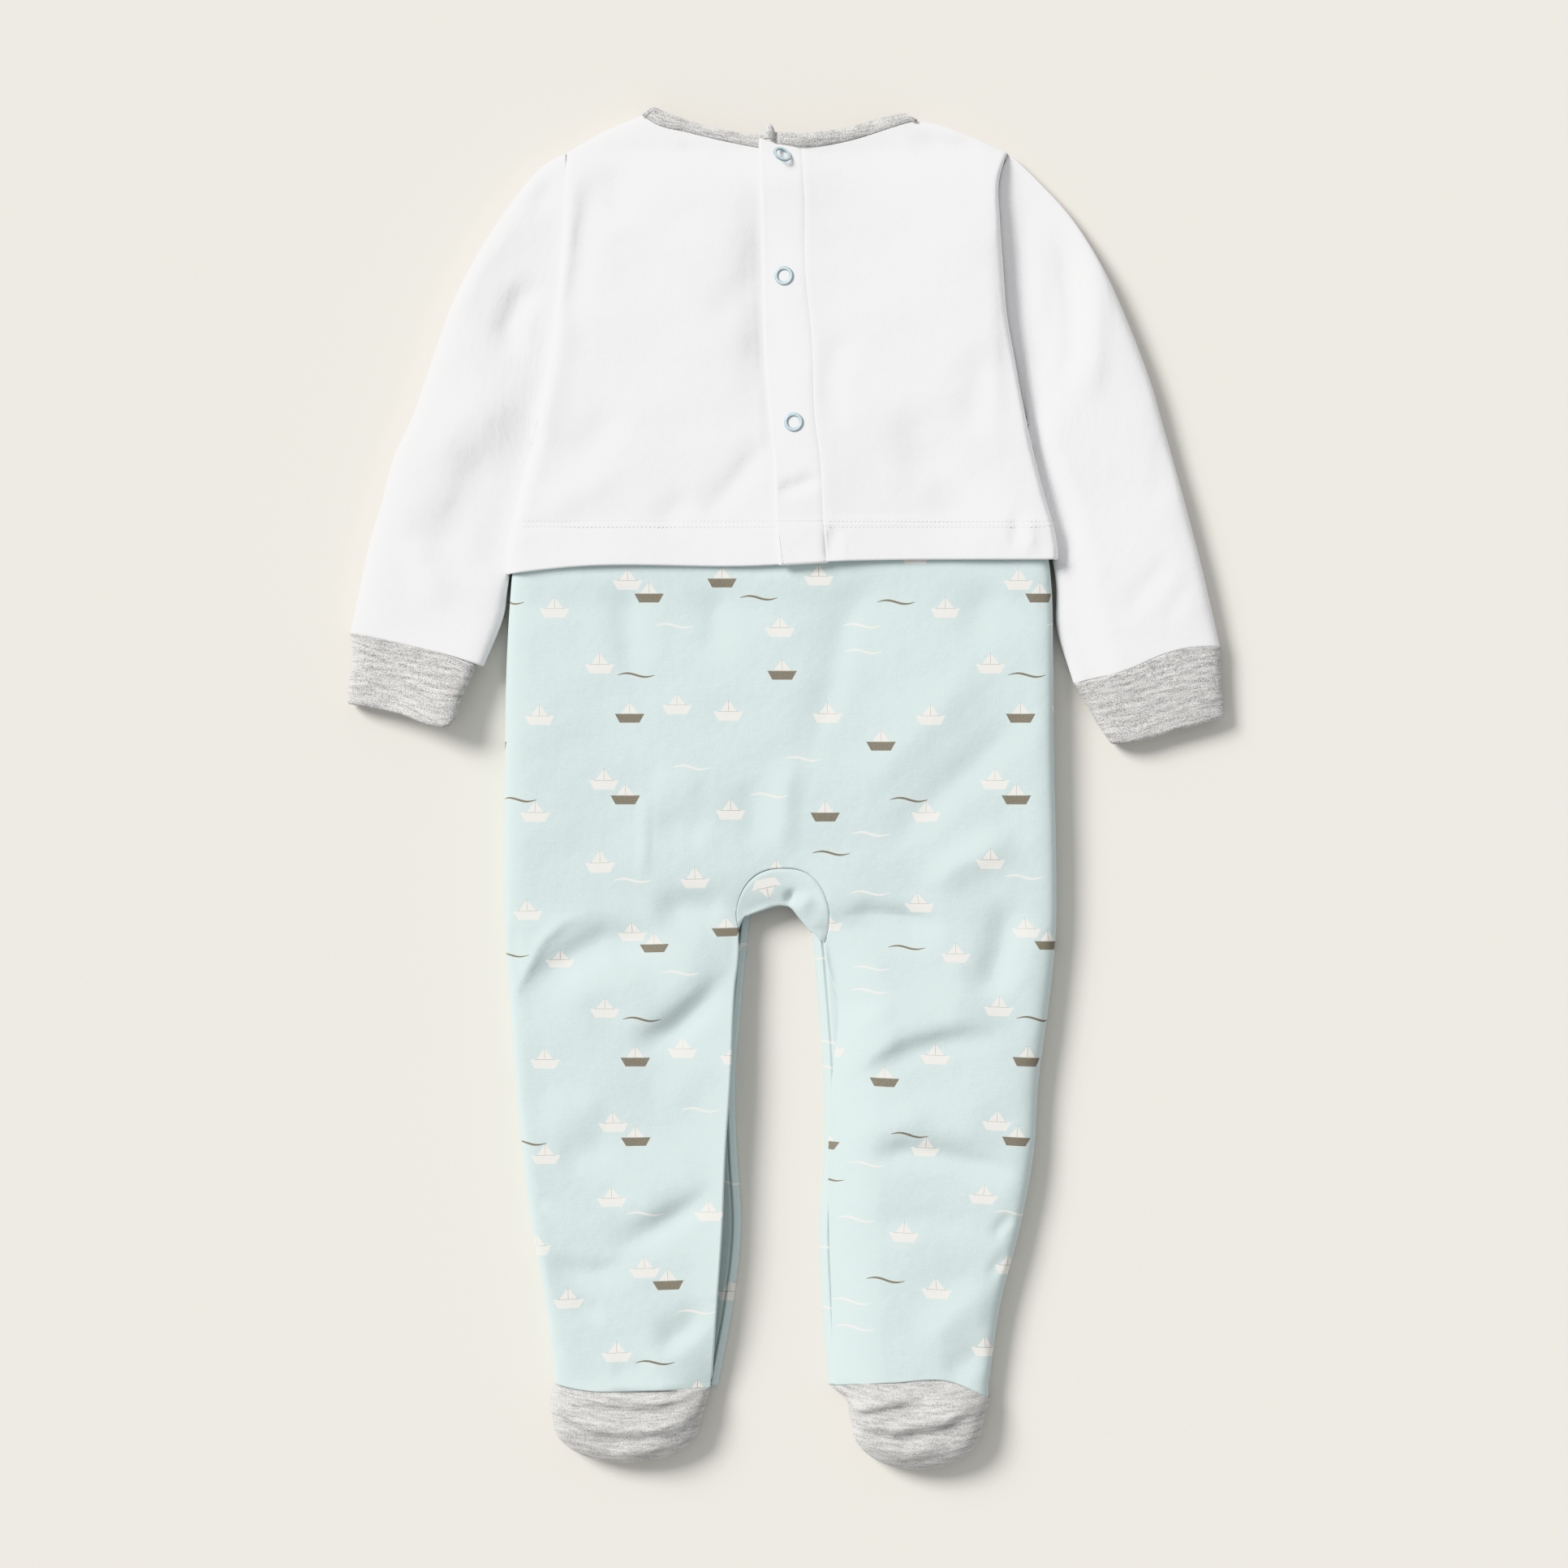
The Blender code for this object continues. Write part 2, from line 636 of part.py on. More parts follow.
def build_top_backs(white):
    v = back_rows()
    middle = (ARMHOLE_TOP + HEM_EDGE) / 2
    seam = placket_seam(middle)

    u = spaced(seam - torso_left(middle), UPPER_CELL, UPPER_ROLL)
    x, y = top_panel(u, v, torso_left, lambda at: placket_seam(at) - UNDERLAP_SHORT)
    z = top_back_z(x, y)
    armhole = (y > ARMHOLE_START) & edge_mask(x.shape, left=True)
    shoulder = edge_mask(x.shape, first=True) & (x <= NECKLINE["seam_x"][0])
    level = shoulder | (edge_mask(x.shape, left=True) & ~armhole)
    plumb = (edge_mask(x.shape, first=True, right=True) | armhole) & ~level
    wall("top_back_left", stack(x, y, z), grid_quads(*x.shape), hem_thickness(x, y), "up",
         white, level.ravel(), plumb.ravel(), lean_y(x.shape, first=False))

    u = 1 - spaced(torso_right(middle) - seam, UPPER_CELL, UPPER_ROLL)[::-1]
    x, y = top_panel(u, v, lambda at: placket_seam(at) + GAP / 2, torso_right)
    lift = PLACKET_LIFT * np.exp(-(x - placket_seam(y)) / PLACKET_EASE)
    fade = roll(shoulder_distance(x, y)) * roll(torso_right(y) - x)
    z = top_back_z(x, y) + lift * fade
    armhole = (y > ARMHOLE_START) & edge_mask(x.shape, right=True)
    shoulder = edge_mask(x.shape, first=True) & (x >= NECKLINE["seam_x"][-1])
    level = shoulder | (edge_mask(x.shape, right=True) & ~armhole)
    plumb = (edge_mask(x.shape, first=True, left=True) | armhole) & ~level
    wall("top_back_right", stack(x, y, z), grid_quads(*x.shape), hem_thickness(x, y), "up",
         white, level.ravel(), plumb.ravel(), lean_y(x.shape, first=False))


def build_placket(white):
    top = NECKLINE["seam_y"][3] - GAP
    hem = (0.0, HEM_DEPTH - HEM_RAMP, HEM_DEPTH + HEM_RAMP)
    v = spaced(top - HEM_EDGE, UPPER_CELL, end=hem)
    u = np.linspace(0, 1, PLACKET_COLUMNS)[None, :]
    low_y = PLACKET["y"][0]
    low_x = placket_free(low_y) + (placket_seam(low_y) - placket_free(low_y)) * u
    y = top + (line(HEM_LINE, low_x) - top) * v[:, None]
    right = placket_seam(y) - GAP / 2
    x = placket_free(y) + (right - placket_free(y)) * u
    z = top_back_z(x, y) + PLACKET_LIFT
    plumb = edge_mask(x.shape, first=True, last=True, left=True, right=True)
    wall("back_placket", stack(x, y, z), grid_quads(*x.shape),
         np.full(x.size, FOLDED), "up", white, plumb=plumb.ravel())


def front_neck(u, edge):
    """The front neckline between its ends, as a deep U: its seam or its free edge."""
    x = NECKLINE[edge + "_x"]
    y = NECKLINE[edge + "_y"]
    dip = (1 - np.abs(2 * u - 1) ** FRONT_NECK_SIDES) ** FRONT_NECK_BASE
    return x[0] + (x[-1] - x[0]) * u, y[0] + (y[-1] - y[0]) * u - FRONT_NECK_DROP * dip


def front_neck_shares():
    """Stations round the front neckline, close at its ends."""
    width = NECKLINE["seam_x"][-1] - NECKLINE["seam_x"][0]
    return spaced(width, MID_CELL, NECK_ENDS, NECK_ENDS)


def build_top_front(white):
    left = torso_left(ARMHOLE_TOP)
    right = torso_right(ARMHOLE_TOP)
    neck_x, neck_y = front_neck(front_neck_shares(), "seam")
    left_x = left + (neck_x[0] - left) * spaced(neck_x[0] - left, LOWER_CELL, LOWER_ROLL)[:-1]
    right_x = right - (right - neck_x[-1]) * spaced(right - neck_x[-1], LOWER_CELL,
                                                    LOWER_ROLL)[-2::-1]
    start_x = np.concatenate((left_x, neck_x, right_x))
    u = (start_x - left) / (right - left)
    v = spaced(ARMHOLE_TOP - HEM_EDGE, MID_CELL, LOWER_ROLL, (0.0, HEM_DEPTH))
    x, y = top_panel(u, v, torso_left, torso_right, hem_rise=FRONT_HEM_RISE)
    at_neck = (start_x > neck_x[0] + NEAR) & (start_x < neck_x[-1] - NEAR)
    top = y[0].copy()
    top[len(left_x):len(left_x) + len(neck_x)] = neck_y
    y = top[None, :] + (y[-1] - top)[None, :] * v[:, None]
    x = torso_left(y) + (torso_right(y) - torso_left(y)) * u[None, :]
    x += (start_x - x[0])[None, :] * ((1 - v) ** 2)[:, None]
    z = top_front_z(x, y)
    at_side = edge_mask(x.shape, left=True, right=True)
    armhole = at_side & (y > ARMHOLE_START)
    level = (at_side & ~armhole) | (edge_mask(x.shape, first=True) & ~at_neck[None, :])
    plumb = (armhole | edge_mask(x.shape, first=True)) & ~level
    wall("top_front", stack(x, y, z), grid_quads(*x.shape), hem_thickness(x, y), "down",
         white, level.ravel(), plumb.ravel(), lean_y(x.shape, first=False))


# ---- flattened tubes: sleeves and cuffs ----

def ring_shape(width, height):
    """Points round a flattened ring: distance along it and height, for a unit crown.

    The upper strand runs from the outer end to the inner end, the lower strand back.
    """
    bend = [s / RING_WIDTH for s in UPPER_ROLL]
    along = spaced(1.0, UPPER_RING_CELL, bend, bend) * width
    ends = roll(along) * roll(width - along)
    upper = np.stack((along, SEAM_Z + (height - SEAM_Z) * ends, ends), axis=1)
    bend = [s / RING_WIDTH for s in LOWER_ROLL]
    along = spaced(1.0, LOWER_RING_CELL, bend, bend)[::-1][1:-1] * width
    ends = np.minimum(roll(along, CURL), roll(width - along, CURL))
    lower = np.stack((along, SEAM_Z * (1 - ends), ends * 0), axis=1)
    return np.vstack((upper, lower)), len(upper)


def armhole_bow(edge, start, end, share):
    """How far the armhole's curve lies from the straight line between its ends."""
    y = start[1] + (end[1] - start[1]) * share
    straight = start[0] + (end[0] - start[0]) * share
    return edge(y) - straight


def build_tube(name, sections, count, thickness, finish, edge=None, outward=0.0, swell=None):
    rows = np.arange(len(sections["height"]), dtype=float)
    at = np.linspace(0, rows[-1], count)
    value = {key: smooth(at, rows, column) for key, column in sections.items()}
    start = (sections["outer_x"][0], sections["outer_y"][0])
    end = (sections["inner_x"][0], sections["inner_y"][0])
    rings = []
    across = []
    for k in range(count):
        outer = np.array((value["outer_x"][k], value["outer_y"][k]))
        inner = np.array((value["inner_x"][k], value["inner_y"][k]))
        width = np.linalg.norm(inner - outer)
        shape, upper = ring_shape(width, value["height"][k])
        share = shape[:, :1] / width
        plan = outer + (inner - outer) * share
        if edge is not None:
            bow = armhole_bow(edge, start, end, share[:, 0]) + outward
            inside = np.clip(share[:, 0] * (1 - share[:, 0]) * BOW_EASE, 0, 1)
            plan[:, 0] += value["bow"][k] * inside * bow
        normal = np.array((outer[1] - inner[1], inner[0] - outer[0], 0)) / width
        if swell is not None:
            reach = smooth(share, swell["share"], swell["swell"]) * (k / (count - 1)) ** 2
            plan -= math.copysign(1.0, normal[1]) * normal[:2] * reach
        z = shape[:, 1] + folds(plan[:, 0], plan[:, 1]) * shape[:, 2]
        rings.append(np.column_stack((plan, z)))
        across.append(np.tile(normal if k in (0, count - 1) else (0, 0, 0), (len(shape), 1)))
    points = np.vstack(rings)
    across = np.vstack(across)
    quads = grid_quads(count, len(rings[0]), closed=True)
    wall(name, points, quads, np.full(len(points), thickness), "out", finish, across=across)


# ---- the neck binding ----

def neck_strand(upper, u):
    """Seam and free edge of one strand of the binding at shares u between the neck's ends."""
    if upper:
        seam_x = NECKLINE["seam_x"][0] + (NECKLINE["seam_x"][-1] - NECKLINE["seam_x"][0]) * u
        free_x = NECKLINE["free_x"][0] + (NECKLINE["free_x"][-1] - NECKLINE["free_x"][0]) * u
        seam = (seam_x, smooth(seam_x, NECKLINE["seam_x"], NECKLINE["seam_y"]))
        free = (free_x, smooth(free_x, NECKLINE["free_x"], NECKLINE["free_y"]))
    else:
        seam = front_neck(u, "seam")
        free = front_neck(u, "free")
    return seam, free


def build_binding(grey):
    """A strip from the back opening's left side, round the front, to its right side."""
    width = NECKLINE["seam_x"][-1] - NECKLINE["seam_x"][0]
    left_end = (LEFT_BINDING_END - NECKLINE["seam_x"][0]) / width
    right_start = (RIGHT_BINDING_END - NECKLINE["seam_x"][0]) / width
    tip = [d / width for d in UPPER_ROLL]
    left = list(spaced(left_end, BINDING_CELL, tip) * left_end)[::-1]
    front = list(front_neck_shares())[1:-1]
    right = list(1 - spaced(1 - right_start, BINDING_CELL, tip) * (1 - right_start))
    columns = [(True, u, 0.0) for u in left]
    columns += [(False, u, 0.0) for u in front]
    columns += [(True, u, 1.0) for u in right]
    rows = np.linspace(0, 1, BINDING_ROWS)
    points = np.zeros((len(rows), len(columns), 3))
    for c, (upper, u, lifted) in enumerate(columns):
        seam, free = neck_strand(upper, np.array(u))
        seam = np.array((float(seam[0]), float(seam[1])))
        free = np.array((float(free[0]), float(free[1])))
        away = (free - seam) / np.linalg.norm(free - seam)
        start = seam + away * GAP
        place = start[None, :] + (free - start)[None, :] * rows[:, None]
        if upper:
            past = max(0.0, seam[0] - placket_seam(seam[1]))
            fade = lifted * math.exp(-past / PLACKET_EASE)
            fade *= float(roll(shoulder_distance(seam[0], seam[1])))
            z = float(top_back_z(seam[0], seam[1])) + PLACKET_LIFT * fade
        else:
            z = float(top_front_z(seam[0], seam[1]))
        points[:, c, :2] = place
        points[:, c, 2] = z
    shape = points.shape[:2]
    across = np.zeros((*shape, 3))
    across[:, 0] = (1, 0, 0)
    across[:, -1] = (1, 0, 0)
    for c, (upper, u, lifted) in enumerate(columns):
        seam, free = neck_strand(upper, np.array(u))
        away = np.array((float(free[0] - seam[0]), float(free[1] - seam[1]), 0.0))
        across[0, c] = away / np.linalg.norm(away)
        across[-1, c] = across[0, c]
    wall("neck_binding", points.reshape(-1, 3), grid_quads(*shape),
         np.full(points.shape[0] * points.shape[1], BINDING), "out", grey,
         across=across.reshape(-1, 3))


# ---- the trousers ----

def arch_point(angle):
    """A point on the gusset's upper seam; the angle goes from 0 at the left to 180."""
    c = math.cos(math.radians(angle))
    s = math.sin(math.radians(angle))
    power = 2 / GUSSET_ARCH["power"]
    foot = GUSSET_ARCH["left_y"] + (GUSSET_ARCH["right_y"] - GUSSET_ARCH["left_y"]) * angle / 180
    x = GUSSET_ARCH["x"] - math.copysign(abs(c) ** power, c) * GUSSET_ARCH["half"]
    return x, foot + (GUSSET_ARCH["top"] - foot) * s ** power


ARCH_COLUMNS = 9


def arch():
    return np.array([arch_point(a) for a in np.linspace(0, 180, ARCH_COLUMNS)])


def foot_seam(foot, x):
    return line(foot["seam"], x)


def split_grid(body, left_leg, right_leg, left_columns, centre_columns):
    """A body grid whose last row goes on as two legs, with a gap between them."""
    columns = body.shape[1]
    points = [body.reshape(-1, 3)]
    quads = grid_quads(body.shape[0], columns)
    last = (body.shape[0] - 1) * columns
    for leg, first in ((left_leg, 0), (right_leg, left_columns + centre_columns - 2)):
        base = sum(len(p) for p in points)
        width = leg.shape[1]
        points.append(leg[1:].reshape(-1, 3))
        numbers = np.vstack((np.arange(last + first, last + first + width),
                             base + np.arange((leg.shape[0] - 1) * width).reshape(-1, width)))
        for r in range(leg.shape[0] - 1):
            for c in range(width - 1):
                quads.append((numbers[r, c], numbers[r, c + 1],
                              numbers[r + 1, c + 1], numbers[r + 1, c]))
    return np.vstack(points), [tuple(int(k) for k in quad) for quad in quads]


def build_bottom_back(blue):
    top = TROUSERS_TOP
    seam = arch()
    left_u = spaced(BACK_LEG_WIDTH, UPPER_CELL, UPPER_ROLL)
    right_u = 1 - left_u[::-1]
    v = spaced(top - seam[0, 1], LONG_CELL * UPPER_CELL)
    y_left = top + (seam[0, 1] - top) * v
    y_right = top + (seam[-1, 1] - top) * v
    waist = np.linspace(*WAIST_CENTRE, ARCH_COLUMNS)
    rows = []
    for k in range(len(v)):
        spread = v[k] ** ARCH_SPREAD
        inner = seam[:, 0] * spread + waist * (1 - spread)
        middle_y = top + (seam[:, 1] - top) * v[k]
        left = side(TROUSERS, "left", y_left[k])
        right = side(TROUSERS, "right", y_right[k])
        left_x = left + (inner[0] - left) * left_u
        right_x = inner[-1] + (right - inner[-1]) * right_u
        x = np.concatenate((left_x, inner[1:-1], right_x))
        y = np.concatenate((np.full(len(left_x), y_left[k]), middle_y[1:-1],
                            np.full(len(right_x), y_right[k])))
        rows.append(stack(x, y, trousers_back_z(x, y)))
    body = np.array(rows)

    legs = []
    for u, edge, inner, foot, start in (
            (left_u, "left", "inner_left", FOOT_LEFT, seam[0, 1]),
            (right_u, "right", "inner_right", FOOT_RIGHT, seam[-1, 1])):
        w = spaced(abs(FOOT_LEFT["seam"]["y"][0] - start), LONG_CELL * UPPER_CELL)
        end_left = TROUSERS[edge][0] if edge == "left" else TROUSERS[inner][0]
        end_right = TROUSERS[inner][0] if edge == "left" else TROUSERS[edge][0]
        end_x = end_left + (end_right - end_left) * u
        end_y = foot_seam(foot, end_x) + FOOT_SEAM_SIDE
        y = start + (end_y - start)[None, :] * w[:, None]
        lean = np.clip((start - y) / CROTCH_LEAN, 0, 1)
        corner_x = seam[0, 0] if edge == "left" else seam[-1, 0]
        inner_x = corner_x + (side(TROUSERS, inner, y) - corner_x) * lean
        outer_x = side(TROUSERS, edge, y)
        low, high = (outer_x, inner_x) if edge == "left" else (inner_x, outer_x)
        x = low + (high - low) * u[None, :]
        legs.append(np.stack((x, y, trousers_back_z(x, y)), axis=-1))
    points, quads = split_grid(body, legs[0], legs[1], len(left_u), ARCH_COLUMNS)
    finish_trousers("bottom_back", points, quads, "up", blue, top)


def finish_trousers(name, points, quads, facing, finish, top):
    """Level edges at the side seams, upright ones along the inner legs and the arch."""
    x = points[:, 0]
    y = points[:, 1]
    edges = {}
    for quad in quads:
        for a, b in zip(quad, quad[1:] + quad[:1]):
            edges[(a, b)] = True
    rim = np.zeros(len(points), dtype=bool)
    for a, b in edges:
        if (b, a) not in edges:
            rim[[a, b]] = True
    outer = np.minimum(np.abs(x - side(TROUSERS, "left", y)),
                       np.abs(x - side(TROUSERS, "right", y))) < NEAR
    ends = (y > top - NEAR) | (y < TROUSERS["y"][0] + ANKLE_SLACK)
    level = rim & outer
    plumb = rim & ~outer & ~ends
    across = np.zeros_like(points)
    across[rim & ends & ~plumb] = (0, 1, 0)
    thickness = np.full(len(points), JERSEY)
    wall(name, points, quads, thickness, facing, finish, level, plumb, across)


def build_gusset(blue):
    """The crescent between the arch and the crotch's free edge."""
    seam = arch()
    u = np.linspace(0, 1, ARCH_COLUMNS)
    low_x = CROTCH_EDGE["x"][0] + (CROTCH_EDGE["x"][-1] - CROTCH_EDGE["x"][0]) * u
    low = np.column_stack((low_x, line(CROTCH_EDGE, low_x)))
    away = low - seam
    away /= np.linalg.norm(away, axis=1, keepdims=True)
    start = seam + away * GAP
    grid = np.array([start + (low - start) * t for t in np.linspace(0, 1, GUSSET_ROWS)])
    z = trousers_back_z(grid[..., 0], grid[..., 1])
    points = np.concatenate((grid, z[..., None]), axis=-1).reshape(-1, 3)
    shape = grid.shape[:2]
    plumb = edge_mask(shape, first=True, last=True, left=True, right=True)
    wall("crotch_gusset", points, grid_quads(*shape), np.full(len(points), JERSEY), "up",
         blue, plumb=plumb.ravel())


def band_edge(which, y):
    """The inner-leg band's edge that meets the front."""
    inward = -LEG_BAND_WIDTH if which == "left" else LEG_BAND_WIDTH
    return side(LEG_BANDS, which, y) + inward


def build_bottom_front(blue):
    top = TROUSERS_TOP
    start = FRONT_CROTCH_SIDE
    leg_u = spaced(FRONT_LEG_WIDTH, LOWER_CELL, LOWER_ROLL)
    right_u = 1 - leg_u[::-1]
    centre = np.linspace(0, 1, ARCH_COLUMNS)
    low = band_edge("left", start)
    high = band_edge("right", start)
    crotch_x = low + (high - low) * centre
    reach = np.clip(1 - np.abs(2 * centre - 1) / FRONT_CROTCH_REACH, 0, 1)
    crotch_y = start + (FRONT_CROTCH_TOP - start) * np.sqrt(reach)
    v = spaced(top - start, LONG_CELL * LOWER_CELL)
    rows = []
    for k in range(len(v)):
        y_row = top + (start - top) * v[k]
        middle_y = top + (crotch_y - top) * v[k]
        left = side(TROUSERS, "left", y_row)
        right = side(TROUSERS, "right", y_row)
        left_x = left + (crotch_x[0] - left) * leg_u
        right_x = crotch_x[-1] + (right - crotch_x[-1]) * right_u
        x = np.concatenate((left_x, crotch_x[1:-1], right_x))
        y = np.concatenate((np.full(len(left_x), y_row), middle_y[1:-1],
                            np.full(len(right_x), y_row)))
        rows.append(stack(x, y, trousers_front_z(x, y)))
    body = np.array(rows)
    legs = []
    for u, edge, foot in ((leg_u, "left", FOOT_LEFT), (right_u, "right", FOOT_RIGHT)):
        w = spaced(abs(FOOT_LEFT["seam"]["y"][0] - start), LONG_CELL * LOWER_CELL)
        end = TROUSERS["y"][0]
        inward = band_edge(edge, end)
        end_left, end_right = sorted((side(TROUSERS, edge, end), inward))
        end_x = end_left + (end_right - end_left) * u
        end_y = foot_seam(foot, end_x) + FOOT_SEAM_SIDE
        y = start + (end_y - start)[None, :] * w[:, None]
        outer_x = side(TROUSERS, edge, y)
        inner_x = band_edge(edge, y)
        low, high = (outer_x, inner_x) if edge == "left" else (inner_x, outer_x)
        x = low + (high - low) * u[None, :]
        legs.append(np.stack((x, y, trousers_front_z(x, y)), axis=-1))
    points, quads = split_grid(body, legs[0], legs[1], len(leg_u), len(centre))
    finish_trousers("bottom_front", points, quads, "down", blue, top)


def build_leg_bands(blue):
    """Folded bands on the floor along the front's inner-leg edges."""
    for which, foot in (("left", FOOT_LEFT), ("right", FOOT_RIGHT)):
        sign = -1 if which == "left" else 1
        start = FRONT_CROTCH_SIDE - GAP
        u = np.linspace(0, 1, BAND_COLUMNS)
        w = spaced(abs(TROUSERS["y"][0] - start), LONG_CELL * UPPER_CELL)
        edge_x = np.stack((side(LEG_BANDS, which, TROUSERS["y"][0]),
                           band_edge(which, TROUSERS["y"][0])))
        end_x = edge_x[0] + (edge_x[1] - edge_x[0]) * u
        end_y = foot_seam(foot, end_x) + FOOT_SEAM_SIDE
        y = start + (end_y - start)[None, :] * w[:, None]
        free = side(LEG_BANDS, which, y)
        joined = band_edge(which, y) - sign * GAP
        x = free + (joined - free) * u[None, :]
        z = np.zeros_like(x)
        plumb = edge_mask(x.shape, first=True, last=True, left=True, right=True)
        wall("leg_placket_" + which, stack(x, y, z), grid_quads(*x.shape),
             np.full(x.size, BAND), "down", blue, plumb=plumb.ravel())


# ---- the feet ----

def foot_plan(foot, u, v):
    """Plan of a foot from the ankle seam, v = 0, to the toe, v = 1."""
    left = smooth(v, foot["sides"]["v"], foot["sides"]["left"])
    right = smooth(v, foot["sides"]["v"], foot["sides"]["right"])
    x = left[:, None] + (right - left)[:, None] * u[None, :]
    toe = foot["corner"] - (foot["corner"] - foot["toe"]) * np.sqrt(1 - (2 * u - 1) ** 2)
    seam = foot_seam(foot, x[0]) - FOOT_SEAM_SIDE
    y = seam[None, :] + (toe - seam)[None, :] * v[:, None]
    return x, y


def foot_outline(foot):
    """The foot's closed edge: down one side, round the toe, up the other side."""
    v = np.linspace(0, 1, OUTLINE_SIDE)
    u = (1 - np.cos(np.linspace(0, math.pi, OUTLINE_TOE))) / 2
    x, y = foot_plan(foot, u, v)
    left = list(zip(x[:, 0], y[:, 0]))
    toe = list(zip(x[-1, 1:-1], y[-1, 1:-1]))
    right = list(zip(x[::-1, -1], y[::-1, -1]))
    return left + toe + right


def build_foot(name, foot, grey, upper):
    bend = UPPER_ROLL if upper else LOWER_ROLL
    reach = ROLL if upper else CURL
    width = foot["sides"]["right"][1] - foot["sides"]["left"][1]
    length = abs(foot["toe"] - foot["seam"]["y"][1])
    u = spaced(width, UPPER_CELL, bend, bend)
    v = spaced(length, UPPER_CELL if upper else LOWER_CELL, end=bend)
    x, y = foot_plan(foot, u, v)
    edge = distance_to(foot_outline(foot), x, y)
    edge[:, 0] = 0
    edge[:, -1] = 0
    edge[-1, :] = 0
    if upper:
        z = SEAM_Z + GAP / 2 + (foot["crown"] - SEAM_Z + folds(x, y)) * roll(edge, reach)
    else:
        z = (SEAM_Z - GAP / 2) * (1 - roll(edge, reach))
    level = edge_mask(x.shape, last=True, left=True, right=True)
    across = lean_y(x.shape, last=False)
    wall(name, stack(x, y, z), grid_quads(*x.shape), np.full(x.size, JERSEY),
         "up" if upper else "down", grey, level=level.ravel(), across=across)


# ---- the snaps ----

def build_snaps(enamel):
    """Ring snaps that lie on the placket, turned with its surface."""
    step = SNAP_SLOPE_STEP
    for number, (x, y) in enumerate(zip(SNAPS["x"], SNAPS["y"]), start=1):
        z = float(top_back_z(x, y)) + PLACKET_LIFT
        slope_x = float(top_back_z(x + step, y) - top_back_z(x - step, y)) / (2 * step)
        slope_y = float(top_back_z(x, y + step) - top_back_z(x, y - step)) / (2 * step)
        normal = unit(np.array([(-slope_x, -slope_y, 1.0)]))[0]
        centre = np.array((x, y, z)) + normal * (SNAP_WIRE + GAP)
        bpy.ops.mesh.primitive_torus_add(
            major_radius=SNAP_RADIUS * MM, minor_radius=SNAP_WIRE * MM,
            major_segments=SNAP_TURN, minor_segments=SNAP_SIDES, location=centre * MM,
            rotation=(math.asin(-normal[1]), math.asin(normal[0]), 0))
        ring = bpy.context.object
        ring.name = f"snap_{number}"
        ring.data.name = ring.name
        ring.data.shade_smooth()
        ring.data.materials.append(enamel)


def main():
    for old in list(bpy.data.objects):
        bpy.data.objects.remove(old)
    white = material("white_jersey", WHITE, 0.95)
    blue = material("blue_jersey", BLUE, 0.95)
    grey = material("heather_grey", GREY, 0.95)
    enamel = material("snap_enamel", ENAMEL, 0.35, 0.6)

    build_top_backs(white)
    build_placket(white)
    build_top_front(white)
    build_tube("sleeve_left", SLEEVE_LEFT, TUBE_RINGS, SLEEVE_JERSEY, white, torso_left, -ARMHOLE_GAP)
    build_tube("sleeve_right", SLEEVE_RIGHT, TUBE_RINGS, SLEEVE_JERSEY, white, torso_right, ARMHOLE_GAP)
    build_tube("cuff_left", CUFF_LEFT, CUFF_RINGS, FOLDED, grey, swell=CUFF_END_LEFT)
    build_tube("cuff_right", CUFF_RIGHT, CUFF_RINGS, FOLDED, grey, swell=CUFF_END_RIGHT)
    build_binding(grey)
    build_bottom_back(blue)
    build_bottom_front(blue)
    build_gusset(blue)
    build_leg_bands(blue)
    build_foot("foot_sole_left", FOOT_LEFT, grey, upper=True)
    build_foot("foot_sole_right", FOOT_RIGHT, grey, upper=True)
    build_foot("foot_vamp_left", FOOT_LEFT, grey, upper=False)
    build_foot("foot_vamp_right", FOOT_RIGHT, grey, upper=False)
    build_snaps(enamel)


main()
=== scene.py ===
"""The look of the footed baby sleepsuit: fine cloth, print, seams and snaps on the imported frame.

Tables and sizes are in millimetres, in the CAD frame: X across, Y from the toes to the neck, Z up.
The forms repeat those of the solids, with more points and the smaller creases.
"""
import math

import bpy
import numpy as np
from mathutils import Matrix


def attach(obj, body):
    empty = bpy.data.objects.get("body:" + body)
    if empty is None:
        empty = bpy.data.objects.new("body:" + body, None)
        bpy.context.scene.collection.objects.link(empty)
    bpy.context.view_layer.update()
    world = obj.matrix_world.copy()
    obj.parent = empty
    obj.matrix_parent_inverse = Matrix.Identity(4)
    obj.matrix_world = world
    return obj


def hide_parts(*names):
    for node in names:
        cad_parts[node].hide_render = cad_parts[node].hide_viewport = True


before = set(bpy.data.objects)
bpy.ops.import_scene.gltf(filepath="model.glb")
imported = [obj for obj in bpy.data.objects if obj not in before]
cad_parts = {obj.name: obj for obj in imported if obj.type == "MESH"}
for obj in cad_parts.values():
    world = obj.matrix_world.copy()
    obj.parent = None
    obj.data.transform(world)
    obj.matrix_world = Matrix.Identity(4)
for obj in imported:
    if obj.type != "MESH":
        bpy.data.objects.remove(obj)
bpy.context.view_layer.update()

MM = 0.001

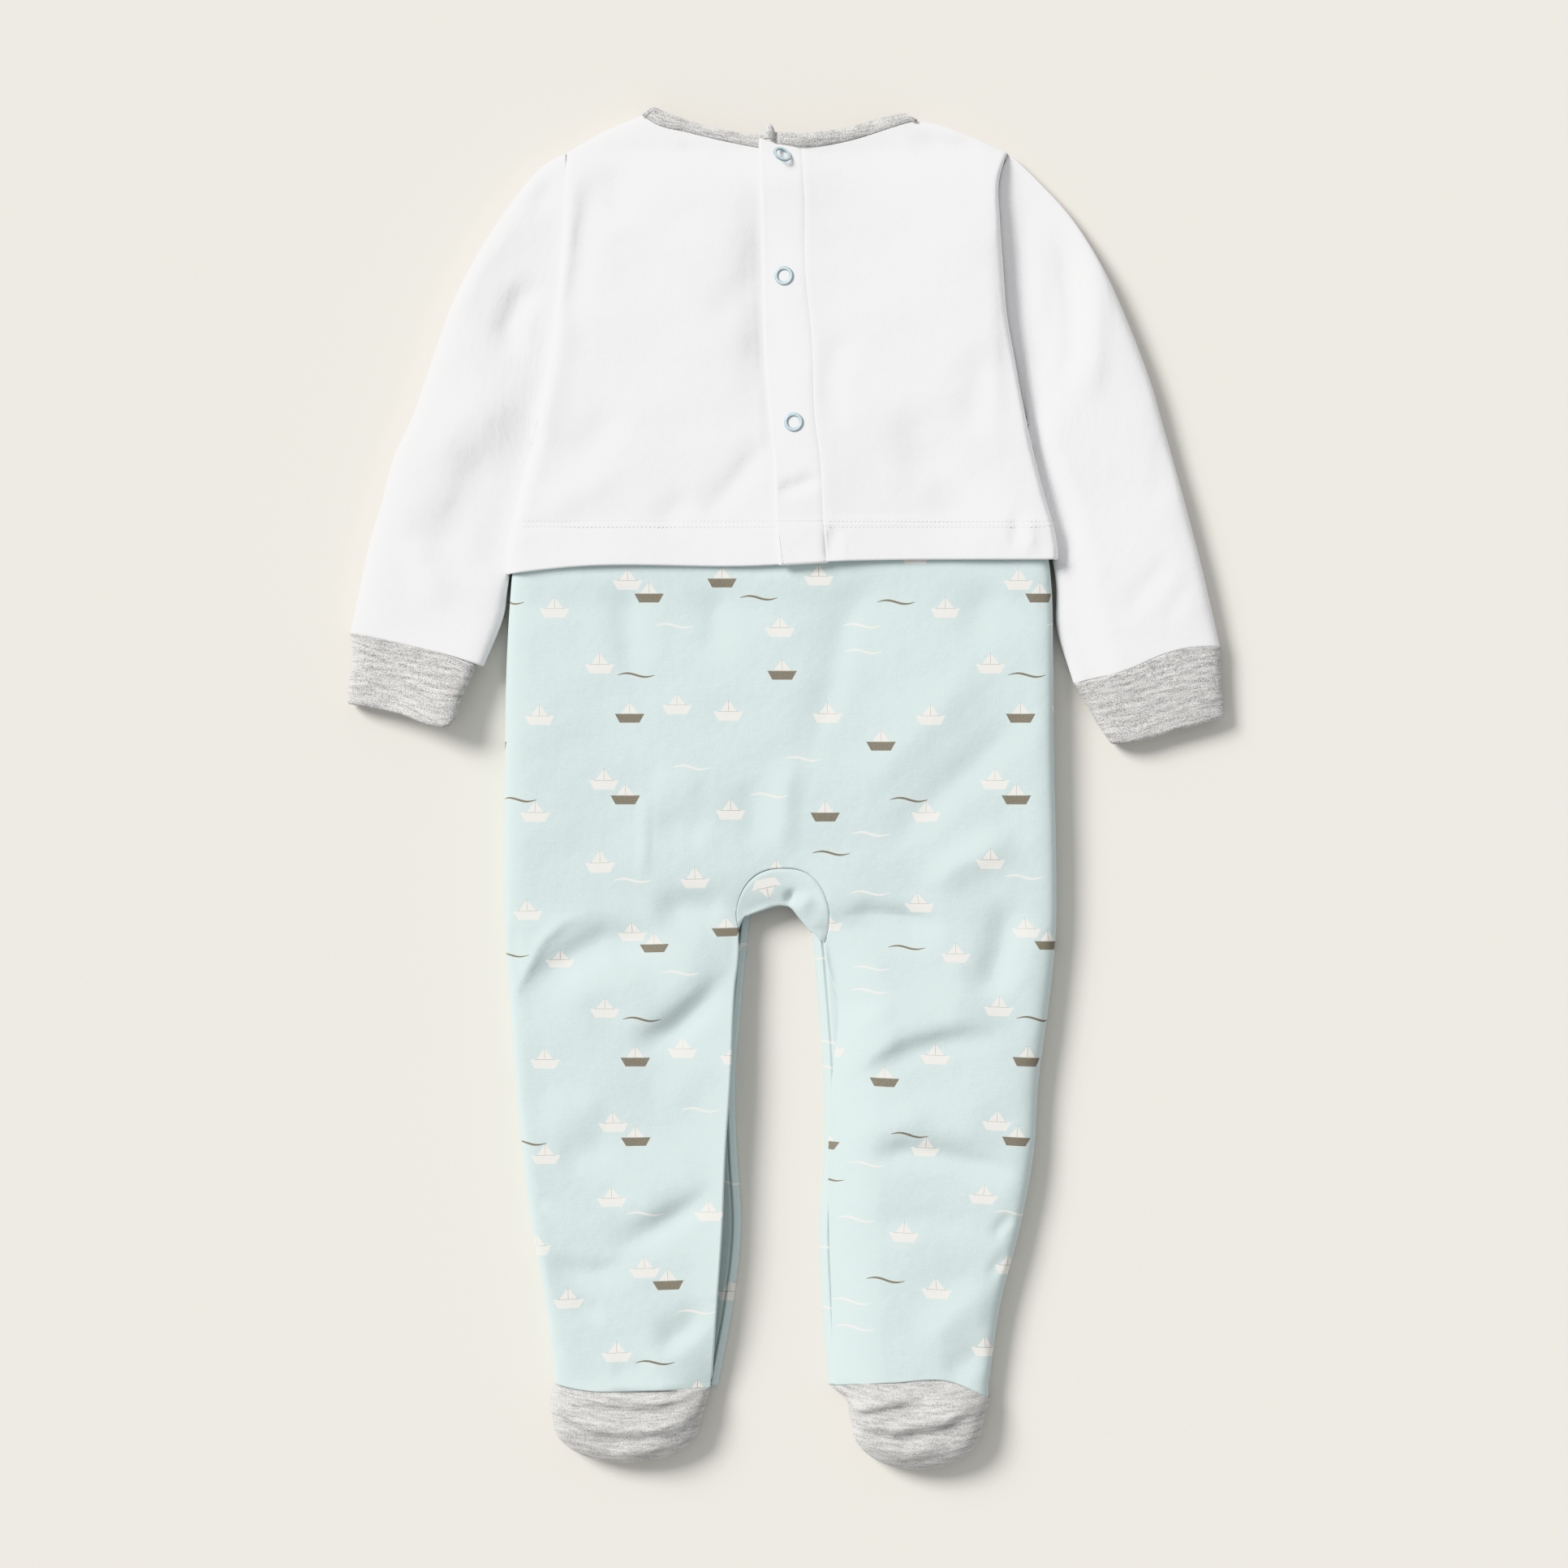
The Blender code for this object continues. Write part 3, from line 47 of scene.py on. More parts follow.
# ---- cloth ----
JERSEY = 1.2            # wall of one layer of jersey
SLEEVE_JERSEY = 1.3     # wall of the sleeves
FOLDED = 2.0            # wall of a folded band: cuffs, hem, placket
BINDING = 1.6           # wall of the neck binding
GAP = 0.3               # between two pieces at a seam
FREE_EDGE = 0.5         # how far a free edge is rounded out, as a share of the wall
SEAM_EDGE = 0.10        # the same at a seam
HEM_ROUND = 0.2         # the same at the hem of the back
SEAM_LAP = 0.4          # how far a piece goes under its neighbour at a seam that is drawn in
SEAM_LOW = (0.25, 0.7)  # how far its last two rows of points go down there
GUSSET_LOW = (2.0, 0.25)    # the same at the gusset's curved seam
ARMHOLE_LAP = 0.4       # how far the sleeves go under the back's edge at the armholes
TUCKED = 2.5            # how far a sleeve that lies beside the torso goes under its side
NEAR = 0.05             # points this close to a line are on it

# ---- how the cloth lies ----
SEAM_Z = 5.5            # height of the side seams above the floor
ROLL = 14.0             # width over which the upper layer rises from a side seam
CURL = 8.0              # width over which the lower layer comes down from a side seam
RISE = 24.0             # width over which the back rises from a free inner-leg edge
ROUND = 3.0             # how tightly an edge is rolled; 2 is a quarter of an ellipse
# Height of the torso's edge as a share of its crown, and width over which it rises from it:
# on the armholes and, further down, on the side seams.
ARMHOLE_EDGE = {"left": (0.5, 5.0), "right": (0.2, 3.0)}
SIDE_ROLL = {"left": 9.0, "right": 4.0}
CREASE_END = 0.35       # share of a crease over which it dies out at each end
CREASE_BLEND = 2.0      # this near its route a crease's half width goes from left to right
CREASE_REACH = 3        # a crease is worked out this many half widths from its route
WRAP_HEIGHT = 8.5       # of the rolled side edges, for the print's place on them
WRAP_STEPS = 80

# ---- spacing of the points ----
UPPER_CELL = 2.6        # on an upper layer
LOWER_CELL = 5.0        # on a lower layer
NARROW_CELL = 2.0       # across narrow bands and along the cuffs
FOOT_CELL = 1.6         # on the soles
HEM_CELL = 2.4          # on the turned hem, from its first free row
HEM_FIRST = 3.2
EDGE = (0.0, 0.8)       # a narrow row along an edge, so that its rounding stays narrow
PLACKET_EDGE = (0.0, 0.5, 1.2)
RING_CELL = 0.028       # round a sleeve's upper and lower side, as a share of its width
LOWER_RING_CELL = 0.06
RING_WIDTH = 60.0       # width of a ring whose ends turn over ROLL and CURL
SHOULDER_POINTS = 25
FOOT_SIDE_POINTS = 40   # on a foot's outline
FOOT_TOE_POINTS = 401

# ---- hem, placket, neck ----
HEM_DEPTH = 19.0        # turned hem of the white top
HEM_SLOPE = 2.0         # width over which its second layer ends
HEM_STEP = 0.6          # how far the second layer of the hem stands out
HEM_CURL = 1.1          # how far the hem turns up towards its edge
HEM_EDGE = 100.0        # lowest line of the white top
FRONT_SHORT = 1.0       # how much shorter than the back the front is at the hem
PLACKET_WIDTH = 20.0
PLACKET_LIFT = 2.6      # outer face of the placket above the left back
PLACKET_EASE = 20.0     # width over which the right back comes down from the placket
UNDERLAP_SHORT = 2.0    # the left back ends this far short of the placket's seam
SHOULDER_TUCK = 0.7     # how far the front's shoulder edges lie inside the back's
FRONT_NECK_DROP = 50.0  # depth of the front neckline below its ends
FRONT_NECK_SIDES = 2.6  # how square the front neckline's sides are
FRONT_NECK_BASE = 0.6   # how flat its bottom is
NECK_STATIONS = (0.0, 0.6, 1.5, 3.0, 5.0, 8.0, 11.0, 15.0, 20.0)
LEFT_BINDING_END = -9.8     # where the binding ends on the left back
RIGHT_BINDING_END = -10.2   # where it ends on the placket, folded to a small knob
KNOB_STATIONS = np.arange(0, 9, 0.6)
BINDING_WIDTH = 6.0
BINDING_ROWS = 7
BINDING_CROWN = 0.5     # how far the middle of the binding stands out
BINDING_SEAT = 4.0      # its height is that of the back this far below the seam

# ---- trousers and feet ----
TROUSERS_TOP = 123.0    # upper edge of the trousers, under the white hem
UNDER_HEM = 2.4         # height of the trousers' front above the floor, on the white front
HEM_RISE = 1.3          # how far the trousers come up to the white hem
HEM_RISE_REACH = 18.0   # and over what length
HEM_FALL = (106, 120)   # where they come down again under it
WAIST_CENTRE = (-20.0, 18.0)    # the waist's part that narrows to the crotch
WAIST_SPREAD = 1.5      # how late it narrows
CROTCH_X = -1.0         # between the legs
CROTCH_LEAN = 25.0      # length over which a leg's edge leaves the gusset's corner
CROTCH_NEAR = 5.0       # the legs' free edges end this far above the gusset's lower foot
BACK_LEG_WIDTH = 106.0  # usual width of a leg of the back
FRONT_LEG_WIDTH = 92.0  # usual width of a leg of the front
LEG_BAND_WIDTH = 16.0   # inner-leg bands
BAND_STATIONS = np.arange(0, 5.0, 0.5)
FOOT_SEAM_SIDE = 0.24   # from the ankle seam's line to each piece
ANKLE_SLACK = 4.0       # the ankle seams' points lie this near to the table's end
FOOT_RISE = 11.0        # length over which a foot rises from the ankle to its crown
FOOT_DRAPE = 0.004      # how the knit's rows hang in curves over a foot

# ---- stitches and snaps ----
SEAM_ROWS = (121.6, 124.2)      # the hem's two stitched rows, on the level
STITCH_PITCH = 1.95
STITCH_LONG = 1.5
STITCH_RADIUS = 0.36
STITCH_SLANT = 0.3      # how much each stitch rises
STITCH_SUNK = 0.17      # its middle lies this far under the cloth's face
# How far from the edges of the back's left and right half the stitched rows start and end.
STITCH_ENDS = {"left": (4.0, 0.5), "right": (1.5, 3.0)}
THREAD_SIDES = 6
# A stitch from end to end: share of its length, and of its radius.
THREAD_SHAPE = ((0.0, 0.45), (0.12, 0.9), (0.5, 1.0), (0.88, 0.9), (1.0, 0.45))
SNAP_RADIUS = 3.6       # middle of the ring's wall
SNAP_WIRE = 0.88        # half the ring's wall
SNAP_FLAT = 0.7         # height of the wall as a share of its width
SNAP_SEAT = 0.35        # its middle above the cloth, as a share of half the wall
SNAP_POINTS = 64        # round a ring, and round its wall
SNAP_WALL_POINTS = 16
SLOPE_STEP = 2.0        # the cloth's slope under a snap is measured this far to each side

# ---- knits and colours ----
WALE = 0.85             # width of the knit's columns
COURSE = 0.7            # height of its rows
KNIT_DEEP = 0.015       # relief of the knit, the fuzz and the unevenness
FUZZ_DEEP = 0.1
UNEVEN_DEEP = 0.3
FLECKS = 1900.0         # how fine the heather's flecks are, to the metre
HEATHER_DARK = 0.46     # mean share of its dark fibres
# The placket's foot: its sides where it crosses the hem, a folded line across it, and a line
# up from the hem: where, how it leans, how high.
PLACKET_FOOT = (-4.6, 17.4)
FOOT_LEDGE = 124.0
FOOT_SLIT = (12.4, 0.13, 117.5)
# Half width and blur of the lines on the white top.
GROOVE = (0.6, 0.9)
LEDGE_LINE = (0.35, 0.9)
SLIT_LINE = (0.25, 0.4)
OFF_SEAM = 1000.0       # a seam map moved this far has none of them
INK_BLUR = 0.3          # soft rim of the print's boats
WHITES = ((0.905, 0.898, 0.905), (0.93, 0.923, 0.928))
# darker colour painted into the stitched rows and folded lines: painted shade in their grooves
GROOVE_PAINTED_SHADE = (0.72, 0.72, 0.745)
BLUE_GROUND = ((0.600, 0.702, 0.695), (0.656, 0.748, 0.738))
CREAM = (0.86, 0.845, 0.80)
TAUPE = ((0.17, 0.150, 0.115), (0.32, 0.290, 0.232))
BOAT_LINE = (0.50, 0.50, 0.46)
RIB_GREYS = ((0.79, 0.78, 0.765), (0.25, 0.245, 0.24))
FOOT_GREYS = ((0.76, 0.75, 0.73), (0.27, 0.265, 0.26))
# the darker blue is painted shade low on the snap rings, the lighter one their top
ENAMEL_PAINTED_SHADE_AND_BLUE = ((0.22, 0.33, 0.38), (0.62, 0.72, 0.75))
THREAD_WHITES = ((0.748, 0.748, 0.748), (0.88, 0.88, 0.88))
FLOOR_COLOURS = ((0.826, 0.800, 0.748), (0.836, 0.810, 0.756))

# ---- camera, light and floor ----
VIEW_CENTRE = (-0.95, 2.1)      # what the camera looks at
VIEW_SIDE = 734.2       # side of the square that it sees on the floor
VIEW_END = 20.0         # how far it sees, in metres
CAMERA_HIGH = 2500.0
SENSOR = 36.0
KEY_ELEVATION = 35.0    # of the soft light from the upper left, in degrees
KEY_TURN = 35.0         # how far it is turned from the left towards the neck
KEY_WIDTH = 27.0        # how wide it looks from the floor
KEY_STRENGTH = 3.5
KEY_COLOUR = (1.0, 0.99, 0.97)
AMBIENT = 0.54
AMBIENT_COLOUR = (0.985, 0.998, 1.012)
FLOOR_HALF = 8.0        # half the floor's side, in metres
FLOOR_DROP = 0.3        # how far it lies under the cloth


# ---- tables ----

def table(columns, rows):
    """A short table as one array for each named column."""
    return dict(zip(columns.split(), np.array(rows, dtype=float).T))


# The white top's side edges and the height of its crown, from the hem up.
TORSO = table("y left right crown", [
    (100, -130.5, 127.0, 15.0),
    (111, -130.9, 126.9, 15.0),
    (123, -128.3, 124.8, 15.0),
    (136, -125.2, 121.0, 15.2),
    (151, -121.4, 117.0, 15.5),
    (167, -116.9, 113.2, 15.5),
    (182, -113.8, 110.0, 15.5),
    (199, -110.4, 107.0, 15.0),
    (222, -107.4, 103.0, 15.0),
    (244, -105.1, 101.3, 14.5),
    (266, -103.6, 99.8, 14.0),
    (285, -103.2, 99.6, 12.5),
    (297, -102.5, 103.2, 9.5),
])

# The trousers' outer side edges, their crown, and the free inner edges of the back's legs.
TROUSERS = table("y left right crown inner_left inner_right", [
    (-279, -107.7, 94.5, 13.0, -35.2, 22.6),
    (-239, -112.3, 100.5, 13.5, -32.5, 21.8),
    (-205, -118.8, 109.3, 14.0, -30.2, 20.7),
    (-170, -122.9, 115.7, 14.0, -28.7, 20.3),
    (-136, -126.4, 118.0, 14.0, -26.4, 22.0),
    (-102, -128.6, 122.6, 14.5, -24.9, 25.0),
    (-68, -131.3, 126.0, 14.5, -22.6, 18.5),
    (-34, -131.7, 126.2, 15.0, -22.0, 17.5),
    (12, -131.3, 125.2, 15.5, -22.0, 17.5),
    (58, -130.5, 124.8, 14.8, -22.0, 17.5),
    (102, -127.7, 123.3, 12.6, -22.0, 17.5),
    (124, -125.2, 120.0, 12.4, -22.0, 17.5),
])

# The outer edge of the front's inner-leg bands.
LEG_BANDS = table("y left right", [
    (-279, -33.0, 21.1),
    (-239, -25.7, 18.1),
    (-205, -22.2, 16.9),
    (-170, -24.1, 19.2),
    (-136, -24.9, 18.8),
    (-102, -22.2, 16.5),
    (-68, -18.9, 13.5),
    (-58, -17.7, 12.4),
])

# How far the back's free inner edges stand above the height of the side seams.
LEG_LIFT = table("y left right", [
    (-279, 3.0, 0.0),
    (-250, 8.0, 0.2),
    (-215, 10.5, 0.35),
    (-180, 10.5, 0.35),
    (-136, 10.0, 0.35),
    (-102, 9.0, 0.6),
    (-72, 7.0, 2.6),
    (-55, 5.6, 5.6),
])

# How far the print has moved on the creased legs, at their outer and inner sides.
PRINT_LEFT = table("y outer_x outer_y inner_x inner_y", [
    (-280, 7.0, 5.0, 11.0, 7.0),
    (-230, 5.5, 3.8, 12.0, 8.0),
    (-195, 5.0, 4.5, 7.5, 8.0),
    (-165, 4.5, 3.0, 5.5, 5.0),
    (-130, 2.5, 3.0, 3.0, 3.0),
    (-100, 2.2, 2.5, 3.0, 2.5),
    (-70, 2.5, -2.6, 2.2, 1.4),
    (-45, 0.5, -3.0, 0.5, 0.0),
    (-20, 0.0, 0.0, 0.0, 0.0),
])
PRINT_RIGHT = table("y outer_x outer_y inner_x inner_y", [
    (-280, -1.0, 8.0, -1.0, 12.0),
    (-235, -3.5, 7.0, -5.5, 13.0),
    (-205, -4.5, 6.5, -6.0, 14.0),
    (-165, 0.0, 3.3, 0.0, 11.0),
    (-130, 3.0, 2.6, 1.0, 8.5),
    (-105, 4.5, 2.6, 0.5, 7.5),
    (-70, 4.0, 1.0, 5.5, 2.5),
    (-45, 0.5, 0.0, 0.0, 0.5),
    (-20, 0.0, 0.0, 0.0, 0.0),
])

# Underside and upper side of the inner-leg bands, from the rim inwards: a rounded rim, a
# stitched groove, then the flat part, which lies higher on the right, up to the back.
BAND_LEFT = table("at low high", [
    (0, 0.6, 3.2), (1.2, 0.4, 4.2), (2.2, 0.3, 4.0), (2.8, 0.2, 3.1), (3.4, 0.2, 3.3),
    (6, 0, 2.7), (10, 0, 2.3), (16, 0, 2.0)])
BAND_RIGHT = table("at low high", [
    (0, 0.8, 3.4), (1.0, 0.6, 4.6), (2.2, 0.5, 5.0), (2.8, 0.4, 4.4), (3.4, 0.3, 4.9),
    (6, 0.1, 5.1), (10, 0, 5.1), (16, 0, 5.1)])

# The curved seam between the back and the gusset: a rounded arch.
GUSSET_ARCH = dict(x=-1.2, top=-37.0, left_y=-65.2, right_y=-72.0, half=22.6, power=2.5)
ARCH_PINCH = (1.8, 3.2)     # how far its left and right foot come in again
ARCH_WIDEST = -54.0         # and from where
ARCH_COLUMNS = 45
# Where the gusset's rows of points lie, from its seam to its free edge.
GUSSET_ROWS = np.array((0.0, 0.05, *np.linspace(0.12, 0.94, 11), 1.0))
# The gusset's free lower edge, at the crotch.
CROTCH_EDGE = table("x y", [
    (-19.6, -59.5),
    (-12.4, -56.8),
    (-1.7, -54.2),
    (2.5, -55.3),
    (6.3, -59.9),
    (12.0, -66.7),
])
# The front's edge between the legs: a low arch over the middle share of it.
FRONT_CROTCH_TOP = -52.0
FRONT_CROTCH_SIDE = -58.0
FRONT_CROTCH_REACH = 0.55
FRONT_CROTCH_COLUMNS = 17

# The back neckline from one end of the opening to the other: seam line and free edge.
NECKLINE = table("seam_x seam_y free_x free_y", [
    (-67.3, 314.3, -62.7, 317.9),
    (-63.0, 311.1, -58.6, 315.9),
    (-45.4, 305.8, -43.4, 310.2),
    (-27.0, 301.4, -26.2, 305.9),
    (-11.2, 298.6, -10.5, 304.0),
    (7.8, 298.5, 7.8, 304.6),
    (26.4, 301.1, 26.4, 307.2),
    (51.0, 308.6, 49.2, 313.4),
    (61.5, 312.0, 56.0, 314.8),
])
# The binding's end on the placket: what is added to its seam, free edge and height.
BINDING_END = table("along seam free lift", [
    (0, 4.2, 3.0, 0.2),
    (1.0, 4.0, 4.7, 1.4),
    (3.0, 3.8, 5.0, 1.8),
    (4.6, 3.0, 4.0, 1.0),
    (5.6, 2.2, 1.6, -0.6),
    (7.0, 2.0, 1.3, 0.1),
    (11.0, 1.4, 1.0, 0.1),
    (17.0, 0.0, 0.0, 0.0),
])
SHOULDER_LEFT = table("x y", [(-102.5, 297.0), (-84.2, 307.2), (-67.3, 314.3)])
SHOULDER_RIGHT = table("x y", [(61.5, 312.0), (72.0, 309.8), (85.3, 305.0), (103.2, 297.0)])

# The white top's lower edge.
HEM_LINE = table("x y", [
    (-131, 100.1),
    (-100, 103.4),
    (-12.7, 104.0),
    (19.5, 105.8),
    (127, 107.0),
])

# The placket: its free edge and the seam that joins it to the right back.
PLACKET = table("y free seam", [
    (105.4, -2.7, 18.8),
    (125.2, -4.0, 17.3),
    (154, -4.9, 15.8),
    (172, -6.6, 13.5),
    (207, -9.3, 12.2),
    (243, -10.1, 8.9),
    (278, -10.9, 8.5),
    (299, -11.6, 7.0),
])

# The middles of the ring snaps, on the placket, and what is added to the slope under them.
SNAPS = table("x y tilt_x tilt_y", [
    (-1.9, 295.0, 0.55, 0.60),
    (-1.0, 238.8, 0.0, 0.0),
    (3.5, 170.4, 0.0, 0.0),
])

# The sleeves' flattened rings, from the armhole to the cuff seam: where the ring's ends lie.
# bow is how much of the armhole's curve the ring still has.
SLEEVE_LEFT = table("outer_x outer_y inner_x inner_y height bow", [
    (-102.8, 297.0, -117.4, 166.6, 10.3, 1.0),
    (-117.2, 287.5, -119.3, 162.1, 11.0, 0.7),
    (-138.5, 259.0, -121.2, 156.4, 12.5, 0.3),
    (-154.1, 230.5, -124.0, 146.9, 13.5, 0.0),
    (-164.7, 202.0, -126.6, 137.4, 13.5, 0.0),
    (-174.6, 173.5, -129.4, 126.0, 13.5, 0.0),
    (-183.4, 154.5, -132.0, 115.3, 13.5, 0.0),
    (-188.7, 134.3, -131.6, 105.1, 13.5, 0.0),
    (-194.4, 115.3, -130.3, 93.7, 13.5, 0.0),
    (-198.9, 94.8, -132.0, 79.6, 13.0, 0.0),
    (-203.5, 73.2, -140.8, 57.4, 11.5, 0.0),
])
SLEEVE_RIGHT = table("outer_x outer_y inner_x inner_y height bow", [
    (103.5, 297.0, 114.0, 166.6, 5.2, 1.0),
    (116.5, 284.8, 116.4, 160.2, 5.4, 0.7),
    (133.6, 266.2, 118.4, 151.8, 7.2, 0.3),
    (147.6, 244.2, 121.2, 142.3, 11.6, 0.0),
    (159.0, 219.5, 124.2, 131.7, 12.3, 0.0),
    (169.7, 191.7, 127.2, 120.3, 12.3, 0.0),
    (176.1, 169.7, 129.2, 108.9, 12.3, 0.0),
    (182.6, 146.9, 127.0, 97.5, 12.3, 0.0),
    (188.3, 126.0, 126.2, 86.1, 12.5, 0.0),
    (194.7, 101.3, 126.9, 72.8, 12.5, 0.0),
    (202.7, 66.3, 134.3, 49.2, 11.5, 0.0),
])
CUFF_LEFT = table("outer_x outer_y inner_x inner_y height", [
    (-203.7, 72.7, -144.1, 57.4, 11.2),
    (-202.6, 61.5, -147.5, 50.0, 11.0),
    (-204.2, 50.0, -151.8, 40.5, 10.5),
    (-205.0, 40.6, -154.1, 31.6, 10.0),
])
CUFF_RIGHT = table("outer_x outer_y inner_x inner_y height", [
    (202.8, 65.8, 134.6, 48.7, 11.2),
    (203.2, 54.5, 139.7, 40.5, 11.0),
    (204.0, 43.6, 145.0, 31.0, 10.5),
    (204.8, 34.4, 151.2, 21.6, 10.0),
])

# How far the cuffs' seams and open ends swell beyond a straight line, across their width.
CUFF_SEAM_LEFT = table("share swell", [(0, 0), (0.5, -0.9), (0.75, -1.0), (1, 0)])
CUFF_SEAM_RIGHT = table("share swell", [
    (0, 0), (0.1, -2.0), (0.2, -3.2), (0.36, -3.3), (0.63, -0.3), (1, 0)])
CUFF_END_LEFT = table("share swell", [
    (0, 0), (0.2, 0.0), (0.5, 0.6), (0.8, 3.4), (0.93, 2.8), (1, 0)])
CUFF_END_RIGHT = table("share swell", [(0, 0), (0.3, 0.6), (0.6, 1.2), (0.85, 1.6), (1, 0)])
SWELL_REACH = 26.0      # length over which the swell dies out
# How far the cuffs' inner corners stand off the floor, and the sleeves with them.
CUFF_LIFT = {"left": 9.0, "right": 0.0}
SLEEVE_LIFT = {"left": 4.5, "right": 0.0}
LIFT_REACH = 45.0       # length of sleeve that comes up with the cuff
LIFT_FROM = 0.15        # share of the width that stays down
SLEEVE_ROLL = 18.0      # width over which a sleeve rises from its outer edge
BOW_EASE = 20.0         # how soon a ring leaves its ends for the armhole's curve
# How a sleeve slopes down to the torso's side: how high it is there, as a share of its crown,
# where it starts to rise, where it is at full height, and how much it still slopes past the hem.
SLEEVE_TUCK = {"left": (0.2, 0.0, 38.0, 0.0), "right": (0.1, 8.0, 24.0, 0.6)}
TUCK_EASE = 12.0        # length over which this begins below the underarm and above the hem
TUCK_PAST = 8.0

ARMHOLE_TOP = TORSO["y"][-1]
UNDERARM = SLEEVE_LEFT["inner_y"][0]
ARMHOLE_LOW = UNDERARM + 1      # above it a side edge belongs to the armhole

# The feet, from the ankle seam to the toe: outline corners, toe and crown.
FOOT_LEFT = dict(
    seam=table("x y", [(-108, -277.0), (-100, -279.0), (-60, -280.0), (-35, -279.2)]),
    sides=table("v left right", [
        (0.0, -107.7, -35.2),
        (0.35, -109.8, -37.0),
        (0.7, -109.8, -38.5),
        (1.0, -108.6, -40.5),
    ]),
    corner=-296.5, toe=-314.8, crown=15.0)
FOOT_RIGHT = dict(
    seam=table("x y", [(20, -278.6), (51, -276.4), (77, -276.2), (88, -280.5), (96, -284.8)]),
    sides=table("v left right", [
        (0.0, 20.6, 95.6),
        (0.35, 28.5, 93.8),
        (0.7, 29.4, 92.6),
        (1.0, 31.0, 91.4),
    ]),
    corner=-298.5, toe=-317.9, crown=16.0)
FEET = {"left": FOOT_LEFT, "right": FOOT_RIGHT}
LEG_END = FOOT_LEFT["seam"]["y"][0]     # the rows of the legs are spaced down to here
